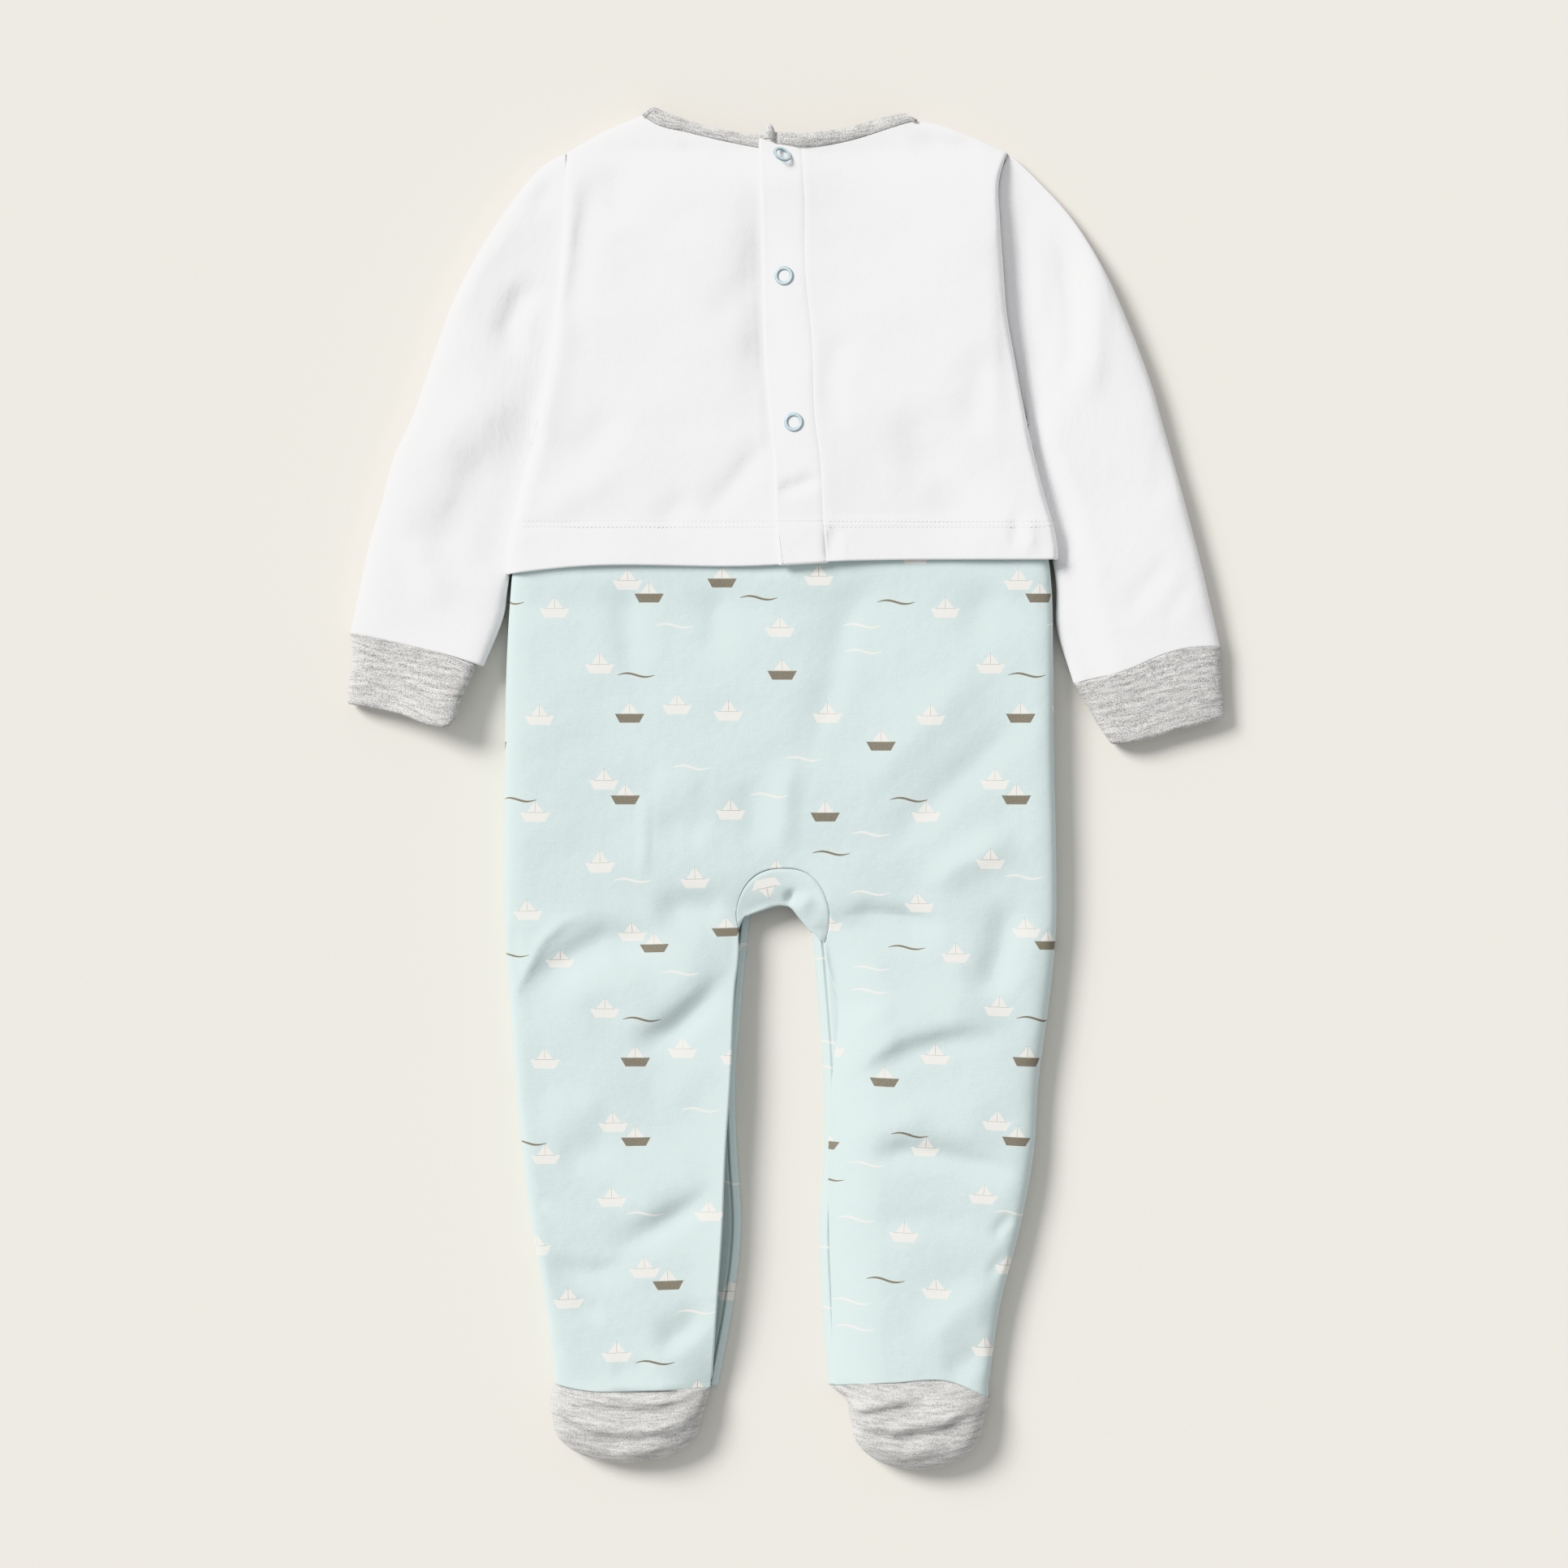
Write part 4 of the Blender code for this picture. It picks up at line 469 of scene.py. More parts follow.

# The creases: height (- a trough), half widths on the left and on the right of
# the route, and the route's points.
CREASES = [
    # white back, left half
    (-3.2, 45, 8, ((-14, 296), (-13, 243), (-12, 200), (-12, 160))),
    (-1.7, 9, 2.4, ((-12.3, 297), (-11, 243), (-10, 207), (-7.4, 172), (-5.6, 152), (-5, 126))),
    (1.2, 4, 6, ((-127, 106), (-124, 123), (-117, 151), (-109, 182), (-103, 222), (-99, 250), (-99, 288))),
    (-2.4, 7, 5, ((-90, 293), (-93, 268), (-97, 245), (-101, 225), (-104, 205))),
    (-1.8, 9, 9, ((-74, 296), (-79, 280), (-80, 258))),
    (-1.0, 2, 2, ((-50, 302), (-44, 297), (-37, 294))),
    (-1.3, 8, 8, ((-13, 245), (-24, 229), (-34, 214))),
    (-2.1, 5, 6, ((-7, 166), (-17, 150), (-28, 137), (-42, 126))),
    (-1.5, 6, 6, ((-43, 138), (-52, 130), (-62, 124))),
    (-1.5, 9, 9, ((-74, 180), (-90, 161), (-106, 148))),
    (1.5, 8, 8, ((-118, 128), (-98, 137), (-76, 143))),
    # placket and right half
    (-2.6, 2.2, 3.2, ((17, 144), (8, 141), (-6, 137))),
    (2.2, 40, 5, ((96, 150), (96, 200), (94, 250), (95, 288))),
    (-2.2, 16, 12, ((98, 124), (76, 142), (44, 158))),
    (-2.0, 5, 5, ((56, 305), (72, 300.5), (94, 297))),
    (-1.7, 8, 8, ((92, 207), (89, 185), (86, 162))),
    (-1.4, 6, 6, ((28, 216), (20, 190), (24, 164))),
    (-1.4, 9, 9, ((52, 178), (62, 160), (80, 146))),
    (1.4, 9, 9, ((40, 150), (56, 142), (76, 138))),
    (-2.2, 2.2, 3.2, ((107, 129), (108.5, 120), (107, 110))),
    (1.7, 3, 3, ((113, 128), (113.5, 118), (112, 108))),
    (-2.4, 1.8, 3.0, ((22.5, 124), (21.5, 112), (20.5, 103))),
    # left sleeve
    (-1.5, 4, 4, ((-120, 268), (-112, 278), (-105, 287))),
    (-3.4, 5, 7, ((-111, 238), (-124, 227), (-129, 215), (-126, 198))),
    (2.0, 10, 12, ((-128, 186), (-150, 172), (-172, 150))),
    (-3.4, 12, 11, ((-131, 164), (-147, 140), (-158, 116), (-160, 98))),
    (1.1, 5, 5, ((-124, 268), (-146, 240), (-160, 212))),
    (1.3, 7, 7, ((-176, 118), (-166, 100), (-158, 84))),
    # right sleeve: low beside the torso, then up to its main part; a second valley above
    (-3.4, 6, 5, ((126, 268), (131, 250), (134, 228), (134, 206), (129, 188), (121, 176))),
    (1.8, 6, 10, ((140, 250), (144, 226), (144, 200), (139, 172))),
    (1.2, 5, 6, ((114, 268), (118, 240), (120, 204))),
    (-1.0, 5, 5, ((182, 112), (168, 94), (156, 78))),
    (-0.8, 4, 4, ((191, 102), (181, 84), (174, 74))),
    (-0.8, 6, 6, ((172, 166), (176, 148), (174, 128))),
    # seat
    (-1.4, 7, 7, ((-74, 99), (-74, 75), (-70, 48))),
    (-1.0, 7, 7, ((-31, 99), (-33, 80), (-33, 56))),
    (-1.2, 5, 9, ((45, 104), (28, 76), (21, 45), (8, 10))),
    (-0.8, 8, 8, ((96, 101), (90, 80), (85, 58))),
    (0.9, 9, 9, ((98, 66), (72, 37), (45, 8), (29, -16))),
    (-1.6, 8, 8, ((118, 40), (84, 8), (58, -16), (40, -34))),
    (2.2, 8, 7, ((108, -22), (84, -34), (62, -47))),
    (1.2, 6, 6, ((3, 18), (-1, -8), (-2, -34))),
    (-0.8, 7, 7, ((-18, 8), (-16, -12), (-12, -30))),
    (0.8, 1.1, 1.1, ((-66, 2), (-66.5, -24), (-65, -48))),
    (0.8, 8, 8, ((-64, 4), (-50, 2), (-38, -3))),
    (-1.0, 8, 8, ((-62, -16), (-48, -17), (-34, -21))),
    (-3.0, 8, 9, ((-64, -58), (-44, -55), (-22, -55))),
    # left hip and thigh
    (-3.2, 7, 9, ((-127, -97), (-111, -87), (-97, -77), (-84, -70), (-66, -72), (-48, -79))),
    (1.6, 1.8, 2.2, ((-130, -101), (-121, -85), (-114, -71), (-104, -62), (-90, -60))),
    (-1.4, 3, 4, ((-127, -62), (-127, -86))),
    (1.2, 10, 9, ((-112, -97), (-84, -93), (-56, -92))),
    (2.4, 5, 20, ((-23, -72), (-40, -91), (-58, -106), (-84, -116))),
    (-3.2, 6, 9, ((-22, -82), (-38, -101), (-52, -113), (-72, -122))),
    (1.2, 10, 10, ((-28, -124), (-44, -136), (-62, -146))),
    (0.9, 8, 8, ((-114, -146), (-98, -149), (-82, -148))),
    (-1.2, 8, 8, ((-108, -172), (-96, -170), (-78, -164))),
    (-1.2, 1.8, 2.2, ((-123, -180), (-118, -190), (-109, -196))),
    # left shin and ankle
    (2.0, 5, 18, ((-28, -176), (-50, -190), (-80, -205))),
    (-2.4, 5, 9, ((-30, -186), (-46, -197), (-62, -207), (-84, -215))),
    (-1.4, 4, 6, ((-114, -221), (-92, -225), (-70, -222))),
    (-1.0, 3, 4, ((-100, -238), (-92, -243), (-84, -243))),
    (-2.7, 4, 8, ((-33, -240), (-46, -253), (-62, -263))),
    (-1.0, 1.8, 2.5, ((-116, -251), (-111, -258), (-104, -265))),
    (-0.8, 4, 5, ((-82, -268), (-72, -271), (-62, -270))),
    # right thigh
    (-3.0, 4, 12, ((20, -62), (38, -58), (56, -60), (76, -67))),
    (-3.0, 8, 7, ((80, -94), (96, -88), (101, -73), (104, -50))),
    (0.6, 3, 3, ((28, -118), (38, -108), (52, -98))),
    (0.4, 2.5, 2.5, ((26, -92), (36, -86), (46, -84))),
    (2.7, 7, 22, ((106, -106), (75, -109), (55, -114), (40, -123), (25, -135))),
    (-1.4, 7, 4, ((104, -113), (75, -117), (55, -122), (38, -132), (22, -144))),
    # right knee, shin and ankle
    (1.0, 7, 7, ((24, -168), (44, -157), (72, -152))),
    (1.6, 5, 16, ((108, -165), (82, -160), (56, -158), (34, -166))),
    (-2.2, 6, 4, ((114, -184), (95, -176), (75, -171), (55, -169), (32, -175))),
    (-0.8, 7, 7, ((28, -204), (60, -200), (94, -204))),
    (-1.3, 2.2, 2.8, ((107, -198), (101, -203), (96, -210))),
    (-1.1, 2.2, 2.8, ((104, -216), (98, -222), (94, -230))),
    (1.6, 9, 8, ((98, -232), (78, -246), (62, -262))),
    (-1.3, 6, 6, ((94, -258), (84, -267), (72, -273))),
    # gusset
    (-10.0, 2.6, 1.6, ((-0.6, -64), (1.2, -55.5), (3.6, -46))),
    (3.0, 2.4, 4, ((4, -62), (7, -55), (11, -48))),
    (-3.0, 3.2, 3.2, ((-21, -60), (-10, -55.5), (1, -54.5))),
    # left ankle
    (-2.6, 0.9, 0.7, ((-90, -281.3), (-66, -281.6), (-38, -280.6))),
    # feet: folds that hang over, each steep on its toe side
    (3.0, 6, 1.6, ((-105, -283), (-84, -286), (-62, -286.5), (-38, -281.5))),
    (3.6, 6, 1.6, ((-107, -291), (-89, -298), (-69, -300), (-50, -297), (-39, -289))),
    (2.6, 5, 1.8, ((-84, -309), (-69, -310), (-50, -304))),
    (2.8, 5, 1.6, ((24, -283), (34, -289), (48, -286), (64, -284))),
    (3.6, 6, 1.6, ((31, -294), (50, -299), (73, -295), (91, -286))),
    (2.6, 5, 1.8, ((34, -304), (54, -311), (79, -306))),
]

# The cloth's slight unevenness: direction in degrees, wave length, height, start.
WAVES = table("angle length height start", [
    (12, 61, 0.14, 0.3),
    (75, 47, 0.12, 1.9),
    (131, 38, 0.10, 4.1),
    (158, 83, 0.20, 5.2),
    (40, 29, 0.06, 2.6),
    (101, 23, 0.05, 0.9),
])

# ---- the print ----
REPEAT = (182.0, 163.0)     # of the print, across and down
PRINT_ORIGIN = (-124.8, -60.2)
CREAM_BOAT, TAUPE_BOAT, CREAM_STROKE, TAUPE_STROKE = 1, 2, 3, 4
# One repeat: the middle of each boat's rail, or of each stroke.
PRINT = [
    (176, 147, TAUPE_STROKE), (112, 149, TAUPE_STROKE), (55, 113, TAUPE_STROKE),
    (0, 55, TAUPE_STROKE), (146, 30, TAUPE_STROKE),
    (73, 136, CREAM_STROKE), (160, 136, CREAM_STROKE), (161, 124, CREAM_STROKE),
    (81, 70, CREAM_STROKE), (133, 74, CREAM_STROKE), (117, 57, CREAM_STROKE),
    (164, 39, CREAM_STROKE), (53, 19, CREAM_STROKE), (163, 11, CREAM_STROKE),
    (51, 157, CREAM_BOAT), (61, 151, TAUPE_BOAT), (95, 158, TAUPE_BOAT),
    (140, 159, CREAM_BOAT), (17, 144, CREAM_BOAT), (122, 135, CREAM_BOAT),
    (123, 115, TAUPE_BOAT), (38, 118, CREAM_BOAT), (10, 94, CREAM_BOAT),
    (52, 95, TAUPE_BOAT), (74, 99, CREAM_BOAT), (98, 96, CREAM_BOAT),
    (144, 95, CREAM_BOAT), (169, 82, TAUPE_BOAT), (40, 64, CREAM_BOAT),
    (50, 57, TAUPE_BOAT), (8, 49, CREAM_BOAT), (99, 50, CREAM_BOAT),
    (143, 49, TAUPE_BOAT), (38, 27, CREAM_BOAT), (82, 19, CREAM_BOAT),
    (3, 6, CREAM_BOAT), (120, 21.7, CREAM_BOAT),
]
BOAT_REACH = (7.0, 5.6)     # half sizes of the boxes that hold a boat and a stroke
STROKE_REACH = (9.4, 1.8)
KIND_STEP = 100.0           # a motif's kind is stored in its map as this many mm across

RAIL_HALF = 6.9             # a boat's hull: half width at the rail and at the bottom
KEEL_HALF = 4.6
HULL_DEEP = 4.2
SAIL_HALF = 4.0
SAIL_HIGH = 5.3
LINE_HALF = 0.16            # of the thin lines between hull and sails
STROKE_HALF = 8.8
STROKE_SWING = 0.85
STROKE_WIDE = 0.55

# The gusset's print: turned about its middle and moved; the inner-leg bands': moved.
GUSSET_MIDDLE = (-9.0, -46.2)
GUSSET_GRAIN = ((-0.98, -0.2), (0.2, -0.98))
GUSSET_PRINT = (10.0, 94.0)
BAND_PRINT = (17.0, 31.0)


# ---- reading the tables ----

def smooth(at, stations, values):
    """The value at a place between a table's rows, on a smooth curve through them."""
    slopes = np.gradient(values, stations)
    at = np.clip(at, stations[0], stations[-1])
    row = np.clip(np.searchsorted(stations, at) - 1, 0, len(stations) - 2)
    step = stations[row + 1] - stations[row]
    t = (at - stations[row]) / step
    return ((1 + 2 * t) * (1 - t) ** 2 * values[row]
            + t * (1 - t) ** 2 * step * slopes[row]
            + t ** 2 * (3 - 2 * t) * values[row + 1]
            + t ** 2 * (t - 1) * step * slopes[row + 1])


def side(sections, column, y):
    return smooth(y, sections["y"], sections[column])


def line(points, x):
    return smooth(x, points["x"], points["y"])


def torso_left(y):
    return side(TORSO, "left", y)


def torso_right(y):
    return side(TORSO, "right", y)


def placket_seam(y):
    return side(PLACKET, "seam", y)


def placket_free(y):
    return side(PLACKET, "free", y)


def neck(edge, x):
    """The back neckline's seam or free edge."""
    return smooth(x, NECKLINE[edge + "_x"], NECKLINE[edge + "_y"])


def binding_end(column, x):
    """What is added to the binding near its end on the placket."""
    return smooth(x - RIGHT_BINDING_END, BINDING_END["along"], BINDING_END[column])


def between(first, last, share):
    """The value at a share of the way from the first to the last."""
    return first + (last - first) * share


def inside(sections, x, y):
    """Distance across from the nearer side edge."""
    return np.minimum(x - side(sections, "left", y), side(sections, "right", y) - x)


def roll(distance, width=ROLL):
    """0 at a rolled edge, 1 past its width: steep at first, then level."""
    share = np.clip(np.asarray(distance) / width, 0, 1)
    return (1 - (1 - share) ** ROUND) ** (1 / ROUND)


def step_up(at, start, end):
    """0 at the start, 1 at the end, level at both."""
    share = np.clip((np.asarray(at) - start) / (end - start), 0, 1)
    return share ** 2 * (3 - 2 * share)


def ease(distance, width):
    """0 at a free edge, 1 past its width: a slope that levels out."""
    share = np.clip(np.asarray(distance) / width, 0, 1)
    return 1 - (1 - share) ** 2


def distance_to(route, x, y):
    """Distance in plan from each point to a route of straight stretches."""
    x = np.asarray(x, dtype=float)
    y = np.asarray(y, dtype=float)
    nearest = np.full(np.broadcast(x, y).shape, np.inf)
    for (x0, y0), (x1, y1) in zip(route[:-1], route[1:]):
        dx = x1 - x0
        dy = y1 - y0
        t = np.clip(((x - x0) * dx + (y - y0) * dy) / (dx * dx + dy * dy), 0, 1)
        nearest = np.minimum(nearest, np.hypot(x - x0 - t * dx, y - y0 - t * dy))
    return nearest


def crease(x, y, height, left, right, route):
    """One crease's height: highest on its route, dying out to both sides and ends."""
    route = np.array(route, dtype=float)
    steps = np.hypot(*np.diff(route, axis=0).T)
    nearest = np.full(x.shape, np.inf)
    share = np.zeros(x.shape)
    width = np.ones(x.shape)
    before = 0.0
    for (x0, y0), (x1, y1), step in zip(route[:-1], route[1:], steps):
        dx = (x1 - x0) / step
        dy = (y1 - y0) / step
        along = np.clip((x - x0) * dx + (y - y0) * dy, 0, step)
        away = np.hypot(x - x0 - along * dx, y - y0 - along * dy)
        closer = away < nearest
        nearest = np.where(closer, away, nearest)
        share = np.where(closer, (before + along) / steps.sum(), share)
        turned = step_up((x - x0) * dy - (y - y0) * dx, -CREASE_BLEND, CREASE_BLEND)
        width = np.where(closer, between(left, right, turned), width)
        before += step
    ends = step_up(share, 0, CREASE_END) * step_up(1 - share, 0, CREASE_END)
    return height * np.exp(-(nearest / width) ** 2) * ends


def folds(x, y):
    """What the creases and the unevenness add to the height of the upper layer."""
    x, y = np.broadcast_arrays(np.asarray(x, dtype=float), np.asarray(y, dtype=float))
    total = np.zeros(x.shape)
    for angle, length, height, start in zip(*WAVES.values()):
        c = math.cos(math.radians(angle))
        s = math.sin(math.radians(angle))
        total += height * np.sin(2 * math.pi * (x * c + y * s) / length + start)
    for height, left, right, route in CREASES:
        reach = CREASE_REACH * max(left, right)
        low = np.min(route, axis=0) - reach
        high = np.max(route, axis=0) + reach
        near = (x > low[0]) & (x < high[0]) & (y > low[1]) & (y < high[1])
        if near.any():
            total[near] += crease(x[near], y[near], height, left, right, route)
    return total


# ---- how high the cloth lies ----

def shoulder_route(shoulder):
    x = np.linspace(shoulder["x"][0], shoulder["x"][-1], SHOULDER_POINTS)
    return list(zip(x, line(shoulder, x)))


def inner_route():
    """The back's free edge: up the left leg, over the crotch, down the right leg."""
    legs = TROUSERS["y"] < GUSSET_ARCH["right_y"] + CROTCH_NEAR
    left, right = (list(zip(TROUSERS[inner][legs], TROUSERS["y"][legs]))
                   for inner in ("inner_left", "inner_right"))
    return left + list(zip(CROTCH_EDGE["x"], CROTCH_EDGE["y"])) + right[::-1]


SHOULDERS = (shoulder_route(SHOULDER_LEFT), shoulder_route(SHOULDER_RIGHT))
INNER_ROUTE = inner_route()


def top_edge(x):
    """Upper edge of the white back: shoulder, neckline, shoulder."""
    upper = np.where(x < NECKLINE["seam_x"][0], line(SHOULDER_LEFT, x), neck("seam", x))
    return np.where(x > NECKLINE["seam_x"][-1], line(SHOULDER_RIGHT, x), upper)


def shoulder_distance(x, y):
    nearest = np.minimum(distance_to(SHOULDERS[0], x, y), distance_to(SHOULDERS[1], x, y))
    return np.maximum(nearest - NEAR, 0)


def on_armhole(y):
    """0 below the underarm, 1 up the armhole."""
    return roll(y - UNDERARM)


def hem_band(above):
    """1 on the turned hem, 0 above it."""
    return 1 - np.clip((above - HEM_DEPTH + HEM_SLOPE / 2) / HEM_SLOPE, 0, 1)


def top_back_z(x, y):
    """Outer face of the white back, before the placket lifts it."""
    armhole = on_armhole(y)
    share = roll(shoulder_distance(x, y))
    rolled = 1.0
    for which, inward in (("left", x - torso_left(y)), ("right", torso_right(y) - x)):
        edge, width = ARMHOLE_EDGE[which]
        rise = roll(inward, between(SIDE_ROLL[which], width, armhole))
        share = share * between(edge * armhole, 1, rise)
        rolled = rolled * rise
    above = y - line(HEM_LINE, x)
    hem = HEM_STEP * hem_band(above) + HEM_CURL * np.clip(1 - above / HEM_DEPTH, 0, 1)
    height = side(TORSO, "crown", y) - SEAM_Z + folds(x, y)
    return SEAM_Z + GAP / 2 + height * share + hem * rolled


def placket_lift(x, y):
    """How much the placket under it raises the right back."""
    lift = PLACKET_LIFT * np.exp(-np.maximum(0, x - placket_seam(y)) / PLACKET_EASE)
    return lift * roll(shoulder_distance(x, y)) * roll(torso_right(y) - x)


def right_back_z(x, y):
    return top_back_z(x, y) + placket_lift(x, y)


def top_front_z(x, y):
    """Under face of the white front: on the floor, curled up to its seams."""
    sides = (1 - roll(inside(TORSO, x, y), CURL)) * (1 - on_armhole(y))
    shoulders = 1 - roll(shoulder_distance(x, y) - SHOULDER_TUCK, CURL)
    return (SEAM_Z - GAP / 2) * np.maximum(sides, shoulders)


def trousers_back_z(x, y):
    """Outer face of the trousers' back."""
    rolled = roll(inside(TROUSERS, x, y))
    to_hem = step_up(y, HEM_EDGE - HEM_RISE_REACH, HEM_EDGE) * (1 - step_up(y, *HEM_FALL))
    height = side(TROUSERS, "crown", y) - SEAM_Z + folds(x, y) * (y < HEM_EDGE)
    height = height + HEM_RISE * to_hem
    lift = rolled * np.where(np.asarray(x) < CROTCH_X, side(LEG_LIFT, "left", y),
                             side(LEG_LIFT, "right", y))
    rise = ease(distance_to(INNER_ROUTE, x, y), RISE)
    return SEAM_Z + GAP / 2 + lift + (height - lift) * rolled * rise


def trousers_front_z(x, y):
    """Under face of the trousers' front: on the floor and, under the hem, on the white front."""
    base = UNDER_HEM * step_up(y, HEM_EDGE - HEM_DEPTH, HEM_EDGE - HEM_SLOPE)
    return base + (SEAM_Z - GAP / 2 - base) * (1 - roll(inside(TROUSERS, x, y), CURL))


# ---- spacing ----

def roll_steps(width, count):
    """Distances from a rolled edge, closer together where it turns."""
    return [width * (1 - math.cos(math.pi / 2 * k / count)) for k in range(count + 1)]


def spaced(length, cell, start=(), end=()):
    """Shares of a length: the start's distances, even steps, the end's distances."""
    first = list(start) or [0.0]
    last = [length - d for d in reversed(list(end) or [0.0])]
    steps = max(1, round((last[0] - first[-1]) / cell))
    middle = list(np.linspace(first[-1], last[0], steps + 1))[1:-1]
    return np.array(first + middle + last) / length


def hem_rows(reach):
    """Distances from the hem's edge, up to a reach."""
    return [*EDGE, *np.arange(HEM_FIRST, reach, HEM_CELL)]


UPPER_ROLL = roll_steps(ROLL, 9)
LOWER_ROLL = roll_steps(CURL, 5)
HEM_END = (HEM_DEPTH - HEM_SLOPE / 2, HEM_DEPTH + HEM_SLOPE / 2)


# ---- cloth pieces ----

GRID_EDGES = {"first": np.s_[0], "last": np.s_[-1], "left": np.s_[:, 0], "right": np.s_[:, -1]}
ALL_ROUND = "first last left right"


def edges(shape, names):
    """A mask of some of a grid's edges: first and last row, left and right column."""
    mask = np.zeros(shape, dtype=bool)
    for name in names.split():
        mask[GRID_EDGES[name]] = True
    return mask


def grid_quads(rows, columns, closed=False):
    """The quads of a grid of points, numbered row by row; a closed grid's rows are rings."""
    numbers = np.arange(rows * columns).reshape(rows, columns)
    if closed:
        numbers = np.column_stack((numbers, numbers[:, 0]))
    return number_quads(numbers)


def number_quads(numbers):
    """The quads of a grid of point numbers."""
    return np.stack((numbers[:-1, :-1], numbers[:-1, 1:],
                     numbers[1:, 1:], numbers[1:, :-1]), axis=-1).reshape(-1, 4)


def face_directions(points, quads, facing):
    """Direction away from the wall at each point of its outer face."""
    total = np.zeros_like(points)
    a, b, c, d = (points[quads[:, k]] for k in range(4))
    normals = np.cross(c - a, d - b)
    for k in range(4):
        np.add.at(total, quads[:, k], normals)
    if facing == "out":
        reference = points - points[np.unique(quads)].mean(axis=0)
    else:
        reference = np.array((0, 0, 1.0 if facing == "up" else -1.0))
    if np.sum(total * reference) < 0:
        return -total, quads[:, ::-1]
    return total, quads


def unit(vectors):
    return vectors / np.maximum(np.linalg.norm(vectors, axis=-1, keepdims=True), 1e-9)


def border(quads):
    """The directed edges that only one quad has."""
    found = set()
    for quad in quads.tolist():
        found.update(zip(quad, quad[1:] + quad[:1]))
    return np.array(sorted((a, b) for a, b in found if (b, a) not in found))


def level_directions(points, rim, facing):
    """Level directions out of a piece, square to its edges."""
    along = (points[rim[:, 1]] - points[rim[:, 0]]) * (1, 1, 0)
    out = np.zeros_like(points)
    for k in range(2):
        np.add.at(out, rim[:, k], unit(np.cross(along, (0, 0, 1.0))))
    return unit(out) * (-1 if facing == "down" else 1)


def link(name, mesh, finish):
    mesh.materials.append(finish)
    piece = bpy.data.objects.new(name, mesh)
    bpy.context.scene.collection.objects.link(piece)
    return piece


def place_piece(piece, slot, *nodes):
    """Puts a piece on the body and hides the CAD nodes that it stands for. The slot is not used."""
    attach(piece, "root")
    if nodes:
        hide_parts(*nodes)


def add_map(mesh, name, values):
    """A UV map from one pair of numbers for each corner."""
    layer = mesh.uv_layers.new(name=name, do_init=False)
    layer.uv.foreach_set("vector", np.asarray(values, dtype=np.float32).ravel())


def corner_vertices(mesh):
    found = np.zeros(len(mesh.loops), dtype=np.int32)
    mesh.loops.foreach_get("vertex_index", found)
    return found


def shell(name, node, slot, points, quads, thickness, facing, cloth, level=None, plumb=None,
          across=None, free=None, seam=None, printed=False, free_round=FREE_EDGE):
    """A thin shell of cloth: its outer face, the face inside it, and rounded edges.

    level, plumb and across turn the edges as on the solids. free marks the points of free
    edges, which are rounded. cloth gives each point's place on the flat cloth, seam its place
    among the hem's stitched rows.
    """
    count = len(points)
    level, plumb, free = (np.zeros(count, dtype=bool) if marks is None else np.ravel(marks)
                          for marks in (level, plumb, free))
    thickness = np.broadcast_to(np.asarray(thickness, dtype=float).ravel(), (count,))
    raw, quads = face_directions(points, quads, facing)
    rim = border(quads)
    inward = raw.copy()
    inward[plumb] = (0, 0, -1 if facing == "down" else 1)
    level_rim = rim[level[rim].all(axis=1)]
    inward[level] = level_directions(points, level_rim, facing)[level]
    if across is not None:
        inward -= np.sum(inward * across, axis=1, keepdims=True) * across
    inner = points - unit(inward) * thickness[:, None]

    outward = np.zeros_like(points)
    along = points[rim[:, 1]] - points[rim[:, 0]]
    for k in range(2):
        np.add.at(outward, rim[:, k], unit(np.cross(along, unit(inward[rim[:, k]]))))
    bulge = thickness * np.where(free, free_round, SEAM_EDGE)
    middle = (points + inner) / 2 + unit(outward) * bulge[:, None]

    rim_points = np.unique(rim)
    number = np.zeros(count, dtype=int)
    number[rim_points] = 2 * count + np.arange(len(rim_points))
    a, b = rim.T
    faces = np.vstack((
        quads,
        quads[:, ::-1] + count,
        np.column_stack((b, a, number[a], number[b])),
        np.column_stack((number[b], number[a], a + count, b + count)),
    ))
    corners = np.vstack((points, inner, middle[rim_points])) * MM
    source = np.concatenate((np.arange(count), np.arange(count), rim_points))
    used, faces = np.unique(faces, return_inverse=True)
    mesh = bpy.data.meshes.new(name)
    mesh.from_pydata(corners[used].tolist(), [], faces.reshape(-1, 4).tolist())
    mesh.shade_smooth()
    at = source[used][corner_vertices(mesh)]
    flat = np.reshape(cloth, (-1, 2))[at]
    add_map(mesh, "cloth", flat * MM)
    if seam is not None:
        add_map(mesh, "seam", seam[at] * MM)
    if printed:
        add_print(mesh, flat.reshape(-1, 4, 2))
    place_piece(link(name, mesh, MATERIALS[slot]), slot, node)


def panel(name, node, slot, x, y, z, thickness, facing, flat=None, level="", plumb="",
          free="", square="", **more):
    """A shell on a grid of points. Its marks are masks or the names of the grid's edges;
    square names the rows whose walls stand square to Y."""
    points = np.stack((x, y, z), axis=-1).reshape(-1, 3)
    level, plumb, free = (edges(x.shape, marks) if isinstance(marks, str) else marks
                          for marks in (level, plumb, free))
    across = edges(x.shape, square)[..., None] * (0.0, 1.0, 0.0)
    shell(name, node, slot, points, grid_quads(*x.shape), thickness, facing,
          points[:, :2] if flat is None else flat, level, plumb, across.reshape(-1, 3), free,
          points[:, :2] if slot == "white_jersey" else None, **more)


